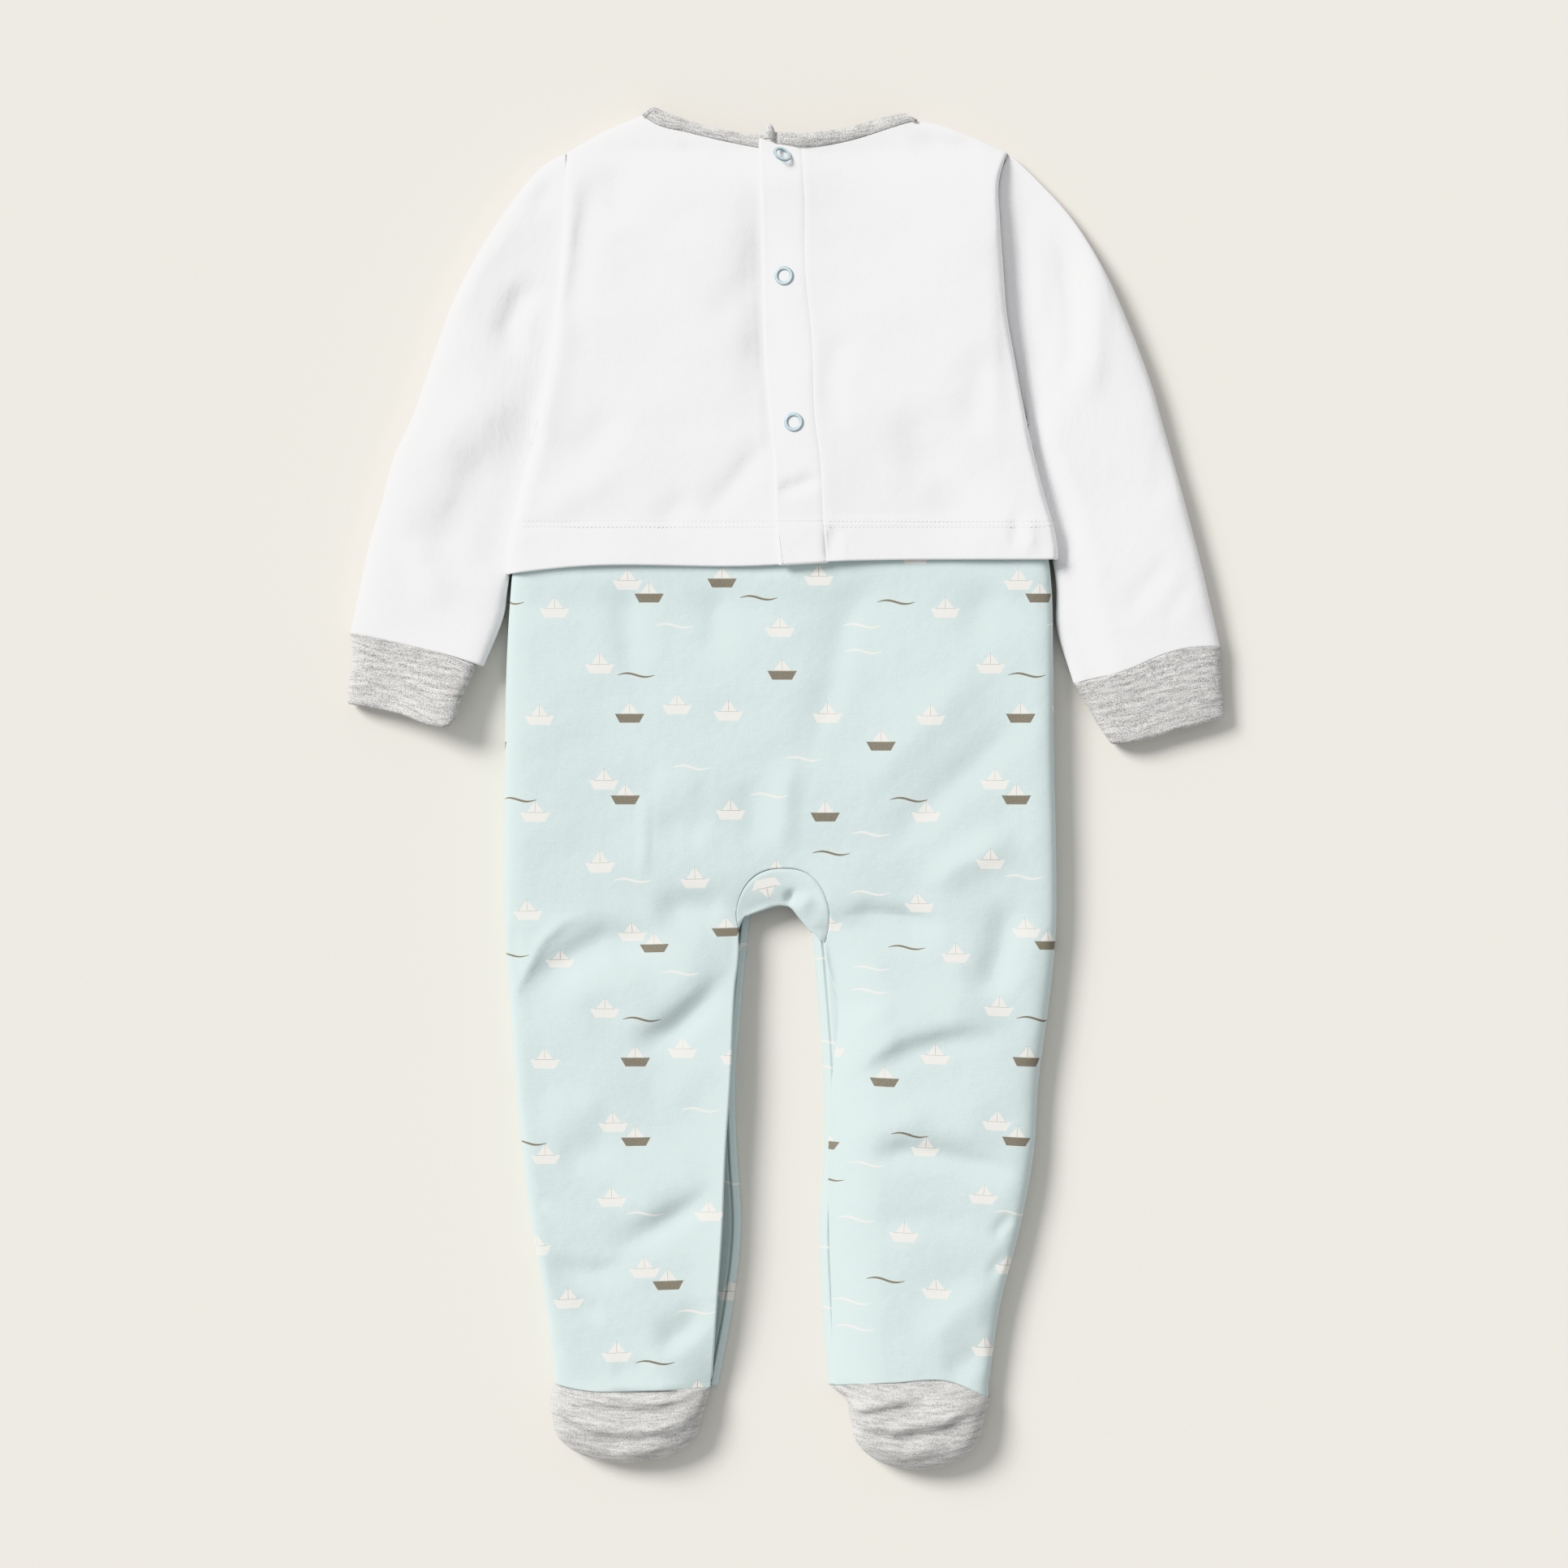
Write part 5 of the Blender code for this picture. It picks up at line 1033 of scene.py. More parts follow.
def add_print(mesh, corners):
    """Two maps that give, on each face, the place within the motifs that lie there."""
    middle = corners.mean(axis=1)
    reach = np.abs(corners - middle[:, None]).max(axis=1)
    found = [np.zeros((len(corners), 4, 2)) for _ in range(2)]
    for layer in found:
        layer[:, :, 1] = KIND_STEP / 2
    taken = np.zeros((2, len(corners)), dtype=bool)
    for *place, kind in reversed(PRINT):
        half = BOAT_REACH if kind in (CREAM_BOAT, TAUPE_BOAT) else STROKE_REACH
        away = middle - PRINT_ORIGIN - place
        away = (away + np.divide(REPEAT, 2)) % REPEAT - np.divide(REPEAT, 2)
        here = (np.abs(away) < half + reach).all(axis=1)
        for level in range(2):
            pick = here & ~taken[level]
            found[level][pick] = corners[pick] - (middle - away)[pick][:, None]
            found[level][pick, :, 0] += kind * KIND_STEP
            taken[level] |= pick
            here &= ~pick
    for name, layer in zip(("motif_over", "motif_under"), found):
        add_map(mesh, name, layer)


def wrapped(points):
    """Places on the flat cloth: like the plan, but paid out over the rolled side edges."""
    x, y = points[:, :2].T
    left = side(TROUSERS, "left", y)
    right = side(TROUSERS, "right", y)
    distance = np.linspace(0, ROLL, WRAP_STEPS)
    steps = np.hypot(np.diff(distance), np.diff(WRAP_HEIGHT * roll(distance))) - np.diff(distance)
    extra = np.concatenate((np.cumsum(steps[::-1])[::-1], [0.0]))
    flat = points[:, :2].copy()
    flat[:, 0] -= np.interp(x - left, distance, extra)
    flat[:, 0] += np.interp(right - x, distance, extra)
    for shift, outer, here in ((PRINT_LEFT, left, x < CROTCH_X),
                               (PRINT_RIGHT, right, x >= CROTCH_X)):
        share = np.clip((x - outer) / (CROTCH_X - outer), 0, 1)
        for axis, way in enumerate("xy"):
            moved = between(side(shift, "outer_" + way, y), side(shift, "inner_" + way, y), share)
            flat[:, axis] -= np.where(here, moved, 0)
    return flat


# ---- materials ----

def feed(tree, node, inputs):
    """Sets a node's inputs to values, or links them to numbers or sockets."""
    for slot, value in inputs.items():
        if isinstance(value, Number):
            value = value.socket
        if isinstance(value, bpy.types.NodeSocket):
            tree.links.new(value, node.inputs[slot])
        else:
            node.inputs[slot].default_value = (*value, 1.0) if isinstance(value, tuple) else value
    return node


class Number:
    """A number in a shader; arithmetic on it makes Math nodes."""

    def __init__(self, tree, socket):
        self.tree = tree
        self.socket = socket

    def math(self, operation, *others):
        node = self.tree.nodes.new("ShaderNodeMath")
        node.operation = operation
        feed(self.tree, node, dict(enumerate((self, *others))))
        return Number(self.tree, node.outputs[0])

    def __add__(self, other):
        return self.math("ADD", other)

    def __sub__(self, other):
        return self.math("SUBTRACT", other)

    def __mul__(self, other):
        return self.math("MULTIPLY", other)

    def __truediv__(self, other):
        return self.math("DIVIDE", other)

    def abs(self):
        return self.math("ABSOLUTE")

    def below(self, limit, blur):
        """1 where this is under the limit, 0 over it, with a soft step between."""
        node = self.tree.nodes.new("ShaderNodeMapRange")
        node.interpolation_type = "SMOOTHSTEP"
        feed(self.tree, node, {"Value": self - limit, "From Min": -blur / 2,
                               "From Max": blur / 2, "To Min": 1.0, "To Max": 0.0})
        return Number(self.tree, node.outputs["Result"])


def map_place(tree, name, scale=1 / MM):
    """A UV map's two numbers, in millimetres where the map is in metres."""
    node = tree.nodes.new("ShaderNodeUVMap")
    node.uv_map = name
    split = feed(tree, tree.nodes.new("ShaderNodeSeparateXYZ"), {0: node.outputs["UV"]})
    return tuple(Number(tree, split.outputs[axis]) * scale for axis in "XY")


def object_place(tree):
    return tree.nodes.new("ShaderNodeTexCoord").outputs["Object"]


def vector(tree, x, y):
    return feed(tree, tree.nodes.new("ShaderNodeCombineXYZ"), {0: x, 1: y}).outputs[0]


def noise(tree, place, scale, detail=2.0, roughness=0.5):
    node = feed(tree, tree.nodes.new("ShaderNodeTexNoise"),
                {"Vector": place, "Scale": scale, "Detail": detail, "Roughness": roughness})
    return Number(tree, node.outputs["Fac"])


def mix(tree, share, first, second):
    """Two colours mixed by a share; each is a socket or three numbers."""
    node = tree.nodes.new("ShaderNodeMix")
    node.data_type = "RGBA"
    return feed(tree, node, {0: share, 6: first, 7: second}).outputs[2]


def new_material(name, roughness, sheen, specular=0.2, coat=0.0):
    finish = bpy.data.materials.new(name)
    finish.use_nodes = True
    feed(finish.node_tree, finish.node_tree.nodes["Principled BSDF"],
         {"Roughness": roughness, "Specular IOR Level": specular, "Sheen Weight": sheen,
          "Sheen Roughness": 0.6, "Coat Weight": coat})
    return finish, finish.node_tree


def complete(finish, colour, height=None, distance=1.0):
    """Gives a material its colour, and relief from a height in millimetres."""
    tree = finish.node_tree
    inputs = {"Base Color": colour}
    if height is not None:
        bump = feed(tree, tree.nodes.new("ShaderNodeBump"),
                    {"Strength": 1.0, "Distance": distance * MM, "Height": height})
        inputs["Normal"] = bump.outputs["Normal"]
    feed(tree, tree.nodes["Principled BSDF"], inputs)
    return finish


def knit(u, v):
    """Height of a plain knit, 0 to 1: V-shaped stitches in columns along v."""
    phase = u / WALE
    valley = (phase * math.pi).math("SINE").abs()
    lean = (phase - phase.math("FLOOR") - 0.5).abs()
    rows = ((v / COURSE + lean) * (2 * math.pi)).math("SINE")
    return valley * 0.7 + rows * 0.15 + 0.15


def jersey_height(tree, u, v):
    """Relief common to the jerseys, in millimetres: stitches, fuzz and slight unevenness."""
    place = vector(tree, u, v)
    fuzz = noise(tree, place, 1.3, 4.0, 0.65)
    uneven = noise(tree, place, 0.11)
    return knit(u, v) * KNIT_DEEP + fuzz * FUZZ_DEEP + uneven * UNEVEN_DEEP


def hem_masks(tree):
    """The hem's stitched rows, and the folded lines of the placket's foot: masks for their relief and for
    the painted shade in their grooves.
    """
    along, above = map_place(tree, "seam")
    lower, upper = ((above - row).abs().below(*GROOVE) for row in SEAM_ROWS)
    middle = (PLACKET_FOOT[0] + PLACKET_FOOT[1]) / 2
    on_placket = (along - middle).abs().below(PLACKET_FOOT[1] - middle, 0.6)
    ledge = (above - FOOT_LEDGE).abs().below(*LEDGE_LINE) * on_placket
    place, lean, top = FOOT_SLIT
    slit = (along + above * lean - place).abs().below(*SLIT_LINE) * above.below(top, 1.0)
    return (lower + upper) * (on_placket * -1.0 + 1.0), ledge.math("MAXIMUM", slit)


def white_material():
    finish, tree = new_material("white_jersey_knit", 0.9, 0.15)
    u, v = map_place(tree, "cloth")
    tint = noise(tree, vector(tree, u, v), 0.25, 3.0, 0.6)
    rows, lines = hem_masks(tree)
    # the stitched rows and the placket foot's lines are darkened: painted shade in their grooves, besides
    # their relief below
    colour = mix(tree, rows * 0.12 + lines * 0.25, mix(tree, tint, *WHITES), GROOVE_PAINTED_SHADE)
    return complete(finish, colour, jersey_height(tree, u, v) + (rows * -0.12 + lines * -0.2))


def motif_masks(tree, name):
    """Where a motif map shows cream print, taupe print and a boat's thin lines."""
    code, y = map_place(tree, name, 1.0)
    kind = (code / KIND_STEP).math("ROUND")
    x = code - kind * KIND_STEP
    wide = x.abs()
    boat = (kind - (CREAM_BOAT + TAUPE_BOAT) / 2).abs().below(1.0, 0.1)
    taupe_boat = (kind - TAUPE_BOAT).abs().below(0.5, 0.1)
    stroke = (kind - (CREAM_STROKE + TAUPE_STROKE) / 2).abs().below(1.0, 0.1)
    taupe_stroke = (kind - TAUPE_STROKE).abs().below(0.5, 0.1)

    hull = (wide - (y * ((RAIL_HALF - KEEL_HALF) / HULL_DEEP) + RAIL_HALF)).below(0.0, INK_BLUR)
    hull = hull * (y + HULL_DEEP / 2).abs().below(HULL_DEEP / 2, INK_BLUR) * boat
    sail = (wide - (y * (-SAIL_HALF / SAIL_HIGH) + SAIL_HALF)).below(0.0, INK_BLUR)
    sail = sail * (y - SAIL_HIGH / 2).abs().below(SAIL_HIGH / 2, INK_BLUR) * boat
    mast = wide.below(LINE_HALF, 0.2) * (y - SAIL_HIGH / 2 - 0.2).abs().below(SAIL_HIGH / 2, 0.3)
    rail = y.abs().below(LINE_HALF, 0.2) * wide.below(SAIL_HALF + 0.6, 0.4)

    swing = (x * (-math.pi / STROKE_HALF)).math("SINE") * STROKE_SWING
    taper = (x / STROKE_HALF).math("POWER", 2.0) * -0.75 + 1.0
    thick = (y - swing).abs() - taper * STROKE_WIDE
    wave = thick.below(0.0, 0.25) * wide.below(STROKE_HALF, 0.3) * stroke

    taupe = (hull * taupe_boat).math("MAXIMUM", wave * taupe_stroke)
    whole = hull.math("MAXIMUM", sail).math("MAXIMUM", wave)
    return whole, taupe, mast.math("MAXIMUM", rail) * boat


def printed_material():
    finish, tree = new_material("printed_jersey_knit", 0.9, 0.15)
    u, v = map_place(tree, "cloth")
    tint = noise(tree, vector(tree, u * 0.2, v * 0.9), 1.2, 3.0, 0.65)
    colour = mix(tree, tint, *BLUE_GROUND)
    speckle = noise(tree, vector(tree, u, v), 2.2, 2.0, 0.6).math("MULTIPLY_ADD", 2.4, -0.7)
    taupe_colour = mix(tree, speckle, *TAUPE)
    for name in ("motif_under", "motif_over"):
        whole, taupe, lines = motif_masks(tree, name)
        for share, ink in ((whole, CREAM), (taupe, taupe_colour), (lines, BOAT_LINE)):
            colour = mix(tree, share, colour, ink)
    return complete(finish, colour, jersey_height(tree, u, v))


def heather_material(name, light, dark, streak, contrast):
    """Grey melange: light knit with dark fibres, in streaks along the courses."""
    finish, tree = new_material(name, 0.92, 0.2)
    u, v = map_place(tree, "cloth")
    flecks = noise(tree, object_place(tree), FLECKS, 2.0, 0.75)
    streaks = noise(tree, vector(tree, u * 0.14, v), 0.6, 4.0, 0.7)
    share = flecks * (1.0 - streak) + streaks * streak
    share = share.math("MULTIPLY_ADD", contrast, HEATHER_DARK - contrast / 2)
    colour = mix(tree, share.math("MINIMUM", 1.0).math("MAXIMUM", 0.0), light, dark)
    return complete(finish, colour, jersey_height(tree, u, v))


def enamel_material():
    """Pale enamel, with painted shade low on the rings and lighter at their tops."""
    finish, tree = new_material("pale_blue_enamel", 0.28, 0.0, specular=0.6, coat=0.5)
    tint = noise(tree, object_place(tree), 900.0)
    height = map_place(tree, "cloth", 1.0)[0]
    share = height.math("MAXIMUM", 0.0).math("POWER", 3.0) * 0.85 + tint * 0.15
    return complete(finish, mix(tree, share, *ENAMEL_PAINTED_SHADE_AND_BLUE), tint, 0.02)


def thread_material():
    finish, tree = new_material("white_thread", 0.7, 0.3)
    tint = noise(tree, object_place(tree), 2500.0, 2.0, 0.6)
    return complete(finish, mix(tree, tint, *THREAD_WHITES), tint, 0.05)


def floor_material():
    finish, tree = new_material("paper_floor", 0.95, 0.0)
    return complete(finish, mix(tree, noise(tree, object_place(tree), 3.0), *FLOOR_COLOURS))


MATERIALS = {
    "white_jersey": white_material(),
    "printed_jersey": printed_material(),
    "heather_grey_rib": heather_material("heather_rib_knit", *RIB_GREYS, 0.4, 4.4),
    "heather_grey_jersey": heather_material("heather_foot_knit", *FOOT_GREYS, 0.45, 3.6),
    "snap_enamel": enamel_material(),
}
WHITE_THREAD = thread_material()


# ---- the white top ----

def hang(top, u, v, left_edge, right_edge, short=0.0):
    """Plan of a panel that hangs from its upper edge to the hem."""
    hem_x = between(left_edge(HEM_EDGE), right_edge(HEM_EDGE), u)
    y = between(top, line(HEM_LINE, hem_x) + short, v[:, None])
    return between(left_edge(y), right_edge(y), u), y


def hem_thickness(x, y):
    return between(JERSEY, FOLDED, hem_band(y - line(HEM_LINE, x)))


def build_top_backs():
    v = spaced(ARMHOLE_TOP - HEM_EDGE, UPPER_CELL, UPPER_ROLL,
               [*hem_rows(HEM_DEPTH - HEM_SLOPE), *HEM_END])
    middle = (ARMHOLE_TOP + HEM_EDGE) / 2
    seam = placket_seam(middle)
    left_u = spaced(seam - torso_left(middle), UPPER_CELL, UPPER_ROLL, EDGE)
    right_u = 1 - spaced(torso_right(middle) - seam, UPPER_CELL, UPPER_ROLL, EDGE)[::-1]
    for which, other, u, left_edge, right_edge, surface in (
            ("left", "right", left_u, torso_left, lambda at: placket_seam(at) - UNDERLAP_SHORT,
             top_back_z),
            ("right", "left", right_u, lambda at: placket_seam(at) + GAP / 2, torso_right,
             right_back_z)):
        top = top_edge(between(left_edge(ARMHOLE_TOP), right_edge(ARMHOLE_TOP), u))
        x, y = hang(top, u, v, left_edge, right_edge)
        z = surface(x, y)
        if which == "right":
            z[:, 0] -= SEAM_LOW[0]
        outer = edges(x.shape, which)
        armhole = outer & (y > ARMHOLE_LOW)
        beside_neck = (x <= NECKLINE["seam_x"][0]) | (x >= NECKLINE["seam_x"][-1])
        level = (edges(x.shape, "first") & beside_neck) | (outer & ~armhole)
        plumb = (edges(x.shape, "first " + other) | armhole) & ~level
        panel(f"back_{which}_cloth", "top_back_" + which, "white_jersey", x, y, z,
              hem_thickness(x, y), "up", level=level, plumb=plumb, free="last",
              square="last", free_round=HEM_ROUND)


def build_placket():
    v = spaced(PLACKET["y"][-1] - HEM_EDGE, UPPER_CELL, EDGE, hem_rows(HEM_END[1]))
    u = spaced(PLACKET_WIDTH, NARROW_CELL, PLACKET_EDGE, EDGE)
    low_x = between(placket_free(PLACKET["y"][0]), placket_seam(PLACKET["y"][0]), u)
    top_x = between(PLACKET["free"][-1], PLACKET["seam"][-1], u)
    # the binding's seam rises towards its folded end
    top = neck("seam", top_x) + binding_end("seam", top_x) - GAP
    y = between(top, line(HEM_LINE, low_x), v[:, None])
    x = between(placket_free(y), placket_seam(y) + SEAM_LAP, u)
    z = top_back_z(x, y) + PLACKET_LIFT
    z[:, -2:] -= SEAM_LOW
    panel("placket_cloth", "back_placket", "white_jersey", x, y, z, FOLDED, "up",
          plumb=ALL_ROUND, free="last left")


def front_neck(u, edge):
    """The front neckline between its ends, as a deep U: its seam or its free edge."""
    x = NECKLINE[edge + "_x"]
    y = NECKLINE[edge + "_y"]
    dip = (1 - np.abs(2 * u - 1) ** FRONT_NECK_SIDES) ** FRONT_NECK_BASE
    return between(x[0], x[-1], u), between(y[0], y[-1], u) - FRONT_NECK_DROP * dip


def front_neck_shares():
    """Stations round the front neckline, close at its ends."""
    width = NECKLINE["seam_x"][-1] - NECKLINE["seam_x"][0]
    return spaced(width, LOWER_CELL, NECK_STATIONS, NECK_STATIONS)


def build_top_front():
    left = torso_left(ARMHOLE_TOP)
    right = torso_right(ARMHOLE_TOP)
    neck_x, neck_y = front_neck(front_neck_shares(), "seam")
    left_u = spaced(neck_x[0] - left, LOWER_CELL, LOWER_ROLL)[:-1]
    right_u = spaced(right - neck_x[-1], LOWER_CELL, LOWER_ROLL)[-2::-1]
    start_x = np.concatenate((between(left, neck_x[0], left_u), neck_x,
                              between(right, neck_x[-1], right_u)))
    at_neck = np.s_[len(left_u):len(left_u) + len(neck_x)]
    top = top_edge(start_x) - SHOULDER_TUCK
    top[at_neck] = neck_y
    u = (start_x - left) / (right - left)
    v = spaced(ARMHOLE_TOP - HEM_EDGE, LOWER_CELL, LOWER_ROLL, (*EDGE, *HEM_END))
    x, y = hang(top, u, v, torso_left, torso_right, FRONT_SHORT)
    x += (start_x - x[0]) * ((1 - v) ** 2)[:, None]
    shoulder = edges(x.shape, "first")
    shoulder[0, at_neck.start + 1:at_neck.stop - 1] = False
    sides = edges(x.shape, "left right")
    armhole = sides & (y > ARMHOLE_LOW)
    level = (sides & ~armhole) | shoulder
    plumb = (armhole | edges(x.shape, "first")) & ~level
    panel("front_cloth", "top_front", "white_jersey", x, y, top_front_z(x, y),
          hem_thickness(x, y), "down", level=level, plumb=plumb, free="last", square="last")


# ---- flattened tubes: sleeves and cuffs ----

def ring_shape(width, height, low, start, end):
    """Points round a flattened ring: distance along it, height, and share of the crown.

    Its inner side rises from the share low of its height between the distances start and end.
    """
    bend = [s / RING_WIDTH for s in UPPER_ROLL]
    along = spaced(1.0, RING_CELL, bend, bend) * width
    slope = between(low, 1, step_up(width - along, start, end))
    ends = roll(along, SLEEVE_ROLL) * roll(width - along) * slope
    upper = np.stack((along, between(SEAM_Z, height, ends), ends), axis=1)
    bend = [s / RING_WIDTH for s in LOWER_ROLL]
    along = spaced(1.0, LOWER_RING_CELL, bend, bend)[::-1][1:-1] * width
    ends = np.minimum(roll(along, CURL), roll(width - along, CURL))
    lower = np.stack((along, SEAM_Z * (1 - ends), np.zeros(len(along))), axis=1)
    return np.vstack((upper, lower))


def tucked(y):
    """1 where a sleeve lies beside the torso, 0 on the armhole and past the hem."""
    past_hem = step_up(y, HEM_EDGE - TUCK_EASE, HEM_EDGE + TUCK_PAST)
    return past_hem * (1 - step_up(y, UNDERARM - TUCK_EASE, UNDERARM))


def build_tube(name, node, slot, sections, step, thickness, edge=None, outward=0.0,
               swell=(None, None), lift=(0.0, 0.0), tuck=(1.0, 0.0, 1.0, 0.0)):
    """A sleeve or cuff. swell and lift are how far its start and its end go beyond a straight
    line, and how far their inner sides stand up."""
    rows = np.arange(len(sections["height"]), dtype=float)
    ends = [np.column_stack((sections[end + "_x"], sections[end + "_y"]))
            for end in ("outer", "inner")]
    steps = np.hypot(*np.diff((ends[0] + ends[1]) / 2, axis=0).T)
    reach = np.concatenate(([0], np.cumsum(steps)))
    down = spaced(reach[-1], step, EDGE, EDGE) * reach[-1]
    at = np.interp(down, reach, rows)
    value = {key: smooth(at, rows, column) for key, column in sections.items()}
    start = ends[0][0]
    end = ends[1][0]
    rings = []
    across = []
    cloth = []
    for k, along in enumerate(down):
        to_end = down[-1] - along
        outer = np.array((value["outer_x"][k], value["outer_y"][k]))
        inner = np.array((value["inner_x"][k], value["inner_y"][k]))
        sloped = 0.0
        if edge is not None:
            beside = float(tucked(inner[1]))
            sloped = max(beside, tuck[3] * (inner[1] < HEM_EDGE))
            touching = float(edge(inner[1])) + math.copysign(TUCKED, outward)
            inner[0] = between(inner[0], touching, beside)
        width = np.linalg.norm(inner - outer)
        shape = ring_shape(width, value["height"][k], 1 - sloped * (1 - tuck[0]), *tuck[1:3])
        share = shape[:, 0] / width
        place = between(outer, inner, share[:, None])
        if edge is not None:
            # how far the armhole's curve lies from the straight line between its ends
            straight_x, straight_y = between(start, end, share[:, None]).T
            bow = edge(straight_y) - straight_x + outward
            place[:, 0] += value["bow"][k] * np.clip(share * (1 - share) * BOW_EASE, 0, 1) * bow
        normal = np.array((outer[1] - inner[1], inner[0] - outer[0], 0)) / width
        for curve, near in zip(swell, (1 - along / SWELL_REACH, 1 - to_end / SWELL_REACH)):
            if curve is not None and near > 0:
                out = smooth(share, curve["share"], curve["swell"]) * near ** 2
                place -= math.copysign(1.0, normal[1]) * normal[:2] * out[:, None]
        raised = between(*lift, max(0.0, 1 - to_end / LIFT_REACH) ** 2)
        z = shape[:, 1] + folds(*place.T) * shape[:, 2] + raised * step_up(share, LIFT_FROM, 1.0)
        rings.append(np.column_stack((place, z)))
        cut = k in (0, len(down) - 1)
        across.append(np.tile(normal if cut else (0, 0, 0), (len(shape), 1)))
        cloth.append(np.column_stack((shape[:, 0], np.full(len(shape), -along))))
    rim = np.zeros((len(rings), len(rings[0])), dtype=bool)
    rim[-1] = True
    cloth = np.vstack(cloth)
    shell(name, node, slot, np.vstack(rings), grid_quads(*rim.shape, closed=True), thickness,
          "out", cloth, across=np.vstack(across), free=rim, seam=cloth + (0, OFF_SEAM))


def build_sleeves():
    for which, sleeve, cuff, seam, end, edge, outward in (
            ("left", SLEEVE_LEFT, CUFF_LEFT, CUFF_SEAM_LEFT, CUFF_END_LEFT, torso_left,
             ARMHOLE_LAP),
            ("right", SLEEVE_RIGHT, CUFF_RIGHT, CUFF_SEAM_RIGHT, CUFF_END_RIGHT, torso_right,
             -ARMHOLE_LAP)):
        build_tube("sleeve_cloth_" + which, "sleeve_" + which, "white_jersey", sleeve,
                   UPPER_CELL, SLEEVE_JERSEY, edge, outward, (None, seam),
                   (0.0, SLEEVE_LIFT[which]), SLEEVE_TUCK[which])
        build_tube("cuff_cloth_" + which, "cuff_" + which, "heather_grey_rib", cuff,
                   NARROW_CELL, FOLDED, swell=(seam, end),
                   lift=(SLEEVE_LIFT[which], CUFF_LIFT[which]))


# ---- the neck binding ----

def neck_strand(upper, u):
    """Seam and free edge of one strand of the binding at a share u between the neck's ends."""
    found = []
    for edge in ("seam", "free"):
        if upper:
            x = between(NECKLINE[edge + "_x"][0], NECKLINE[edge + "_x"][-1], u)
            found.append(np.array((x, neck(edge, x))))
        else:
            found.append(np.array(front_neck(u, edge)))
    return found


def build_binding():
    """A strip from the back opening's left side, round the front, to its right side."""
    width = NECKLINE["seam_x"][-1] - NECKLINE["seam_x"][0]
    left_end = (LEFT_BINDING_END - NECKLINE["seam_x"][0]) / width
    right_start = (RIGHT_BINDING_END - NECKLINE["seam_x"][0]) / width
    tip = [d / width for d in UPPER_ROLL]
    cell = UPPER_CELL / width
    left = list(spaced(left_end, cell, tip) * left_end)[::-1]
    right = list(1 - spaced(1 - right_start, cell, tip, KNOB_STATIONS / width) * (1 - right_start))
    columns = [(True, False, u) for u in left]
    columns += [(False, False, u) for u in front_neck_shares()[1:-1]]
    columns += [(True, True, u) for u in right]
    rows = np.linspace(0, 1, BINDING_ROWS)
    points = np.zeros((len(rows), len(columns), 3))
    across = np.zeros(points.shape)
    for c, (upper, on_placket, u) in enumerate(columns):
        seam, free = neck_strand(upper, u)
        seam_x = seam[0]
        if on_placket:
            seam[1] += binding_end("seam", seam_x)
            free[1] += binding_end("free", seam_x)
        away = (free - seam) / np.linalg.norm(free - seam)
        if upper:
            surface = right_back_z if on_placket else top_back_z
            z = surface(seam_x, seam[1] - BINDING_SEAT)
            z = z + (binding_end("lift", seam_x) if on_placket else 0)
        else:
            z = top_front_z(*seam)
        points[:, c, :2] = between(seam + away * GAP, free, rows[:, None])
        points[:, c, 2] = z + BINDING_CROWN * np.sin(np.pi * rows) * upper
        across[[0, -1], c, :2] = away
    across[:, [0, -1]] = (1, 0, 0)
    steps = np.linalg.norm(np.diff(points[0, :, :2], axis=0), axis=1)
    along = np.concatenate(([0], np.cumsum(steps)))
    cloth = np.stack(np.broadcast_arrays(along, BINDING_WIDTH * rows[:, None]), axis=-1)
    shape = cloth.shape[:2]
    shell("binding_cloth", "neck_binding", "heather_grey_rib", points.reshape(-1, 3),
          grid_quads(*shape), BINDING, "out", cloth, across=across.reshape(-1, 3),
          free=edges(shape, "last left right"))


# ---- the trousers ----

def arch_point(angle):
    """A point on the gusset's upper seam; the angle goes from 0 at the left to 180."""
    c = math.cos(math.radians(angle))
    s = math.sin(math.radians(angle))
    power = 2 / GUSSET_ARCH["power"]
    foot = between(GUSSET_ARCH["left_y"], GUSSET_ARCH["right_y"], angle / 180)
    x = GUSSET_ARCH["x"] - math.copysign(abs(c) ** power, c) * GUSSET_ARCH["half"]
    y = between(foot, GUSSET_ARCH["top"], s ** power)
    pinch = ARCH_PINCH[0] if c > 0 else -ARCH_PINCH[1]
    return x + pinch * max(0.0, (ARCH_WIDEST - y) / (ARCH_WIDEST - foot)) ** 2, y


def arch():
    return np.array([arch_point(a) for a in np.linspace(0, 180, ARCH_COLUMNS)])


def leg_inner(seam, inner, y):
    """Inner edge of a leg of the back: down the gusset's seam to its foot, then free."""
    foot_x, foot_y = seam[-1]
    lean = np.clip((foot_y - y) / CROTCH_LEAN, 0, 1)
    free = between(foot_x, side(TROUSERS, inner, y), lean)
    return np.where(y > foot_y, np.interp(-y, -seam[:, 1], seam[:, 0]), free)


def band_edge(which, y):
    """The inner-leg band's edge that meets the front."""
    return side(LEG_BANDS, which, y) + (-LEG_BAND_WIDTH if which == "left" else LEG_BAND_WIDTH)


def trousers_body(seam, v, waist_share, left_u, right_u):
    """Plan of the body, from its upper edge to the seam or edge between the legs."""
    waist = np.linspace(*WAIST_CENTRE, len(seam))
    rows = []
    for share in v:
        inner = between(waist, seam[:, 0], share ** waist_share)
        middle_y = between(TROUSERS_TOP, seam[:, 1], share)
        left = side(TROUSERS, "left", middle_y[0])
        right = side(TROUSERS, "right", middle_y[-1])
        x = np.concatenate((between(left, inner[0], left_u), inner[1:-1],
                            between(inner[-1], right, right_u)))
        y = np.concatenate((np.full(len(left_u), middle_y[0]), middle_y[1:-1],
                            np.full(len(right_u), middle_y[-1])))
        rows.append(np.stack((x, y), axis=-1))
    return np.array(rows)


